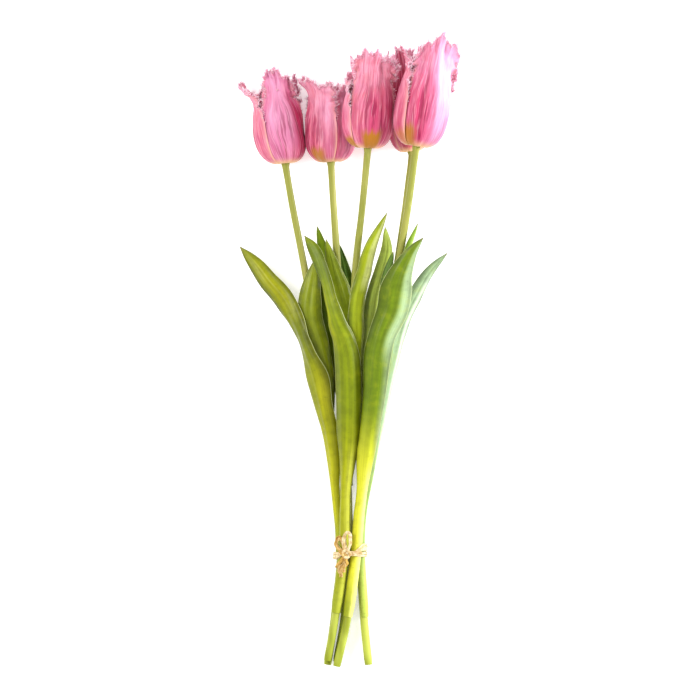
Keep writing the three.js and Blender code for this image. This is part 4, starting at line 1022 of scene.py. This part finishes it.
u, v = PETAL_COLUMNS[None, :], PETAL_ROWS[:, None]
for number in range(len(BLOOMS)):
    bloom = Bloom(number)
    chance = np.random.default_rng(10 + number)
    petals, sheets, paths, outs, sizes, faces = [], [], [], [], [], []
    for outer in (True, False):
        for own in bloom.outer if outer else bloom.inner:
            shape = {**PLAIN_PETAL, **own}
            grid, normal = ruffled(bloom, outer, shape, chance)
            if not outer:
                grid = tucked(grid, normal, sheets[:len(bloom.outer)])
            sheets.append(sheet(grid))
            thickness = PETAL_THICKNESS * (1 - 0.55 * np.abs(u) ** 5) * (1 - 0.35 * v)
            values = {"lot": 10 * chance.random(), **{name: shape[name] for name in PETAL_COLOURS_AND_PAINTED_LIGHT}}
            petals.append((grid, thickness, (PETAL_COLUMNS + 1) / 2, PETAL_ROWS, values))
            upward = unit(np.gradient(grid, axis=0))
            for inset, lean, size, start in FRINGE_RANKS:
                first = int(np.searchsorted(PETAL_ROWS, start))
                rim, face, lead = (round_margin(points, first) for points in (grid, normal, upward))
                height = round_margin(v + 0 * u, first)
                edge = unit(np.gradient(evened(rim), axis=0))
                out = unit(np.cross(face, edge) + NEEDLE_RISE * lead)
                tuft = TUFT_LEAN * waves(travelled(rim) / TUFT_LENGTH, chance, 1, 1.9)[:, None]
                paths.append(rim - out * inset + face * (ROOT_DEPTH if lean > 0 and outer else -ROOT_DEPTH))
                outs.append(unit(out + tuft * edge + (lean if outer else -abs(lean)) * face))
                sizes.append(size * (0.4 + 0.6 * smooth(start - 0.05, start + 0.25, height)))
                faces.append(face)
    name = f"bloom_{number + 1}"
    place(name + "_petals", skin_mesh(name + "_petals", petals, petal_skin), "petal", name)
    for order, (path, out, size, face) in enumerate(zip(paths, outs, sizes, faces)):
        own = order // len(FRINGE_RANKS)
        others = sheets[:own] + sheets[own + 1:]
        ahead = distances(path, out, others, LONGEST_NEEDLE) / LONGEST_NEEDLE
        above = distances(path, face, others, WIDEST_CURL) / WIDEST_CURL
        room = np.minimum(ahead, above)
        size *= np.where(room == 1, 1, NEEDLE_ROOM * room)
    values = {"out": outs, "size": sizes}
    mesh = grown(name + "_fringe", paths, values, fringe_tree, needle_skin, Seed=100 * number)
    points = np.empty(3 * len(mesh.vertices))
    mesh.vertices.foreach_get("co", points)
    height = points[2::3] / MM
    room = BENDS_BELOW - LOWEST_NEEDLE
    bent = LOWEST_NEEDLE + room * np.exp((height - BENDS_BELOW) / room)
    points[2::3] = np.where(height < BENDS_BELOW, bent, height) * MM
    mesh.vertices.foreach_set("co", points)
    place(name + "_fringe", mesh, "petal", name)

# ---- Hearts ---------------------------------------------------------------------------------------------------
# Inside each bloom stand a fleshy pale pistil with a three-lobed stigma, and round it six stamens: pale
# filaments with long dark anthers. Each is a bar of changing thickness.

PISTIL = np.array([  # (height above the bloom's foot, radius)
    (2.3, 1.7), (3, 1.9), (5, 2.3), (9, 2.6), (13, 2.4), (15.2, 1.9), (16, 2.0), (17, 2.4), (17.8, 1.2),
])
STIGMA_LOBE = np.array([  # (distance from the bloom's axis, height, radius)
    (0.4, 16.4, 1.1), (1.6, 17.4, 1.4), (2.6, 17.9, 1.3), (2.9, 18.6, 1.0), (2.4, 19.0, 0.4),
])
LOBE_WAYS = (0, 120, 240)
STAMEN = [(0.9, 3.8), (4.4, 9), (5.8, 20)]  # (distance from the bloom's axis, height)
STAMEN_WAYS = (30, 90, 150, 210, 270, 330)
FILAMENT_FOOT, FILAMENT_TOP, ANTHER_SWELL = 0.55, 0.3, 0.95  # radii, and what the anther adds

pistil_skin, tree, surface = start_material("pistil_skin", Roughness=0.5, Subsurface_Weight=0.1)
painted(
    tree, surface, tint(170, 184, 92),
    (ramp(tree, attribute(tree, "along"), 0.8, 0.95), 232, 220, 150),
    (ramp(tree, spots(tree, in_space(tree), 400), 0.4, 0.7, 0, 0.4), 206, 204, 120),
)
anther_skin, tree, surface = start_material("anther_skin", Roughness=0.85)
grains = spots(tree, in_space(tree), 1600)
painted(
    tree, surface, tint(222, 200, 120),
    (ramp(tree, attribute(tree, "along"), 0.4, 0.5), 112, 82, 40),
    (ramp(tree, grains, 0.4, 0.65, 0, 0.6), 168, 130, 50),
)
relief(tree, surface, grains, 0.0003)

for number in range(len(BLOOMS)):
    bloom = Bloom(number)
    name = f"bloom_{number + 1}"
    heights, radii = PISTIL.T
    out, lobe_heights, lobe_radii = STIGMA_LOBE.T
    paths = [bloom.place(0 * heights, 0, heights), *(bloom.place(out, way, lobe_heights) for way in LOBE_WAYS)]
    sizes = {"Sides": 12, "Dents": 0.0005, "Dent_Size": 300.0, "Seed": number}
    mesh = bars(name + "_pistil", paths, [radii, *[lobe_radii] * len(LOBE_WAYS)], pistil_skin, **sizes)
    place(name + "_pistil", mesh, "heart", name + "_heart")
    step = np.linspace(0, 1, 24)
    out, heights = through(STAMEN)(step).T
    anther = smooth(0.42, 0.5, step) * (1 - smooth(0.93, 1.0, step))
    radii = FILAMENT_FOOT + (FILAMENT_TOP - FILAMENT_FOOT) * step + ANTHER_SWELL * anther
    paths = [bloom.place(out, way, heights) for way in STAMEN_WAYS]
    sizes = {"Sides": 8, "Flatness": 0.8, "Seed": number}
    mesh = bars(name + "_stamens", paths, [radii] * len(STAMEN_WAYS), anther_skin, **sizes)
    place(name + "_stamens", mesh, "heart", name + "_heart")

# ---- Raffia tie -----------------------------------------------------------------------------------------------
# Split palm leaf wound five times round the stems and knotted in front, with an upright loop, a flat loop on
# the left and frayed ends. Every pass is a few narrow dry ribbons that lie loosely together.

SEAT_GAP = 0.35  # between the stems and the raffia
RIBBON_HALF = 0.35  # half of the raffia's thickness where it passes round
KNOT = (-2.8, -145, 21)
KNOT_REACH = (2.3, 2.7, 1.3)
KNOT_TURNS = 7
RIBBON_STEPS = 16  # from one point of a loose end to the next
WRAPS = [(-143.6, 5.0), (-144.0, 3.7), (-144.4, 2.4), (-145.0, 0.7), (-145.4, -1.0)]  # (Y, rise to the right)
# The loose ends on the left lie away from the light, so their gold is partly painted shade.
LOOSE_ENDS = [  # the upright loop, the flat loop and three ends, each with how golden it is
    ([KNOT, (-4.4, -137, 22), (-4, -131.5, 23), (-1.6, -129.6, 23.4), (0.6, -132, 23), (0, -138, 22), KNOT],
     0.2),
    ([KNOT, (-6.6, -142.6, 20.6), (-9.4, -138.6, 18.8), (-9, -134.6, 18.6), (-6.4, -134.4, 20.2), KNOT], 0.9),
    ([KNOT, (-6, -149.6, 19.8), (-9.6, -154.8, 17.8)], 1),
    ([KNOT, (-5, -152, 19.8), (-7.1, -161.2, 18.4)], 0.8),
    ([KNOT, (-3, -151, 20.2), (-5, -157.6, 19.2)], 0.7),
]
SHEATHED = SHEATH_RADIUS + SHEATH_WALL / 2
BOUND = [SHEATHED, STEM_RADIUS_CUT, SHEATHED, SHEATHED, SHEATHED]  # the stems' radii under the tie

raffia_skin, tree, surface = start_material("raffia_skin", Roughness=0.75, Specular_IOR_Level=0.3)
around, along = times(tree, attribute(tree, "around"), 14), times(tree, attribute(tree, "along"), 9)
fibres = spots(tree, joined(tree, around, along, attribute(tree, "lot")), 1, 3)
painted(
    tree, surface, tint(242, 232, 196),
    # the gold: partly the raffia's own tone, partly painted shade on the strands away from the light
    (attribute(tree, "gold"), 206, 164, 74),
    (ramp(tree, spots(tree, in_space(tree), 330), 0.35, 0.65, 0.6, 0), 176, 134, 62),
    (ramp(tree, fibres, 0.45, 0.7, 0, 0.55), 150, 112, 50),
)
relief(tree, surface, fibres, 0.0001)

chance = np.random.default_rng(77)
paths, radii, twists, lots, golds = [], [], [], [], []


def lay_ribbons(points, count, spread, width, gold):
    """Lays a few ribbons side by side along a path, each wandering a little from it. Gold ones are
    partly the raffia's own tone and partly painted shade.
    """
    steps = np.linspace(0, 1, len(points))
    for _ in range(count):
        shift = np.zeros_like(points)
        for axis in range(3):
            for wave in (1, 2, 4):
                shift[:, axis] += spread / wave * chance.normal() * sine(wave * steps + chance.random())
        paths.append(points + shift)
        radii.append(np.full(len(points), width) * (0.7 + 0.5 * chance.random()))
        golds.append(np.clip(gold + 0.25 * chance.normal() + 0 * steps, 0, 1))
        twists.append(2 * np.pi * (chance.random() + 1.2 * chance.random() * steps))
        lots.append(np.full(len(points), 20 * chance.random()))


for level, slant in WRAPS:
    angle = np.linspace(0, 2 * np.pi, 97)
    y = level + slant * np.cos(angle)
    out = np.stack([np.cos(angle), 0 * angle, np.sin(angle)], -1)
    farthest, ring = np.full(len(angle), -np.inf), 0 * out
    for stem, bound in enumerate(BOUND, 1):
        point = stem_at(stem, y) + out * (bound + SEAT_GAP + RIBBON_HALF)
        reach = (point * out).sum(-1)
        point[:, 1] = y
        ring = np.where((reach > farthest)[:, None], point, ring)
        farthest = np.maximum(farthest, reach)
    lay_ribbons(ring, count=3, spread=0.2, width=1.0, gold=0.1)
for points, gold in LOOSE_ENDS:
    share = np.linspace(0, 1, RIBBON_STEPS * (len(points) - 1))
    lay_ribbons(through(points)(share), count=5, spread=0.5, width=1.15, gold=gold)
for _ in range(KNOT_TURNS):
    lean, roll = np.pi * chance.random(2)
    angle = np.linspace(0, 2 * np.pi, 33)
    x, y, z = (np.stack([np.cos(angle), np.sin(angle), np.sin(angle + lean)], -1) * KNOT_REACH).T
    turned = [x * math.cos(roll) - y * math.sin(roll), x * math.sin(roll) + y * math.cos(roll), z]
    lay_ribbons(np.array(KNOT) + np.stack(turned, -1), count=1, spread=0.15, width=1.0, gold=0.5)
sizes = {"Sides": 8, "Flatness": 0.32, "Dents": 0.00025, "Dent_Size": 700.0, "Seed": 5}
mesh = bars("raffia_strands", paths, radii, raffia_skin, twists, {"lot": lots, "gold": golds}, **sizes)
place("raffia_strands", mesh, "raffia", "raffia_tie")

# ---- The table and the light ----------------------------------------------------------------------------------
# The bunch lies on plain pale paper, lit a little from below as a light table is. An even sky, a soft light
# high on the left and a nearer one low on the right light it. The camera looks down through a long lens.

TABLE_HALF = 6
UNDERGLOW = 0.4
SKY_COLOUR, SKY_STRENGTH = (1.0, 0.985, 0.96, 1), 0.92
LENS, FILM_WIDTH = 500, 36
VIEW_WIDTH = 0.497  # of the table, across the whole picture
BLOOM_HEIGHT = 0.03  # at which that width is seen

table_paper, tree, surface = start_material(
    "table_paper", Roughness=0.9, Specular_IOR_Level=0.1, Emission_Color=(1, 1, 1, 1),
    Emission_Strength=UNDERGLOW,
)
pulp = spots(tree, in_space(tree), 40)
painted(tree, surface, (0.86, 0.86, 0.86, 1), (pulp, (0.9, 0.9, 0.9, 1)))
floor = bpy.data.meshes.new("table_top")
corners = [(x * TABLE_HALF, y * TABLE_HALF, 0) for x, y in ((-1, -1), (1, -1), (1, 1), (-1, 1))]
floor.from_pydata(corners, [], [(0, 1, 2, 3)])
floor.materials.append(table_paper)
added("table_top", floor)

sky = bpy.data.worlds.new("studio")
bpy.context.scene.world = sky
sky.use_nodes = True
sky.node_tree.nodes["Background"].inputs["Color"].default_value = SKY_COLOUR
sky.node_tree.nodes["Background"].inputs["Strength"].default_value = SKY_STRENGTH


def softbox(name, at, towards, size, power, colour):
    lamp = bpy.data.lights.new(name, "AREA")
    lamp.shape, lamp.size, lamp.energy, lamp.color = "DISK", size, power, colour
    holder = added(name, lamp)
    holder.location = at
    holder.rotation_mode = "QUATERNION"
    holder.rotation_quaternion = Vector(np.subtract(towards, at)).to_track_quat("-Z", "Y")


softbox("left_light", (-0.85, 0.35, 1.2), (-0.02, 0.08, 0.02), size=0.6, power=14, colour=(1.0, 0.97, 0.95))
softbox("right_light", (1.4, 0.25, 0.55), (0.02, 0.02, 0.02), size=0.5, power=32, colour=(0.95, 0.96, 1.0))

camera = bpy.data.cameras.new("overhead")
camera.lens, camera.sensor_width = LENS, FILM_WIDTH
camera.clip_start, camera.clip_end = 0.1, 100
overhead = added("overhead", camera)
overhead.location = (-CENTRE[0] * MM, -CENTRE[1] * MM, VIEW_WIDTH * LENS / FILM_WIDTH + BLOOM_HEIGHT)
bpy.context.scene.camera = overhead
bpy.context.scene.view_settings.view_transform = "Standard"
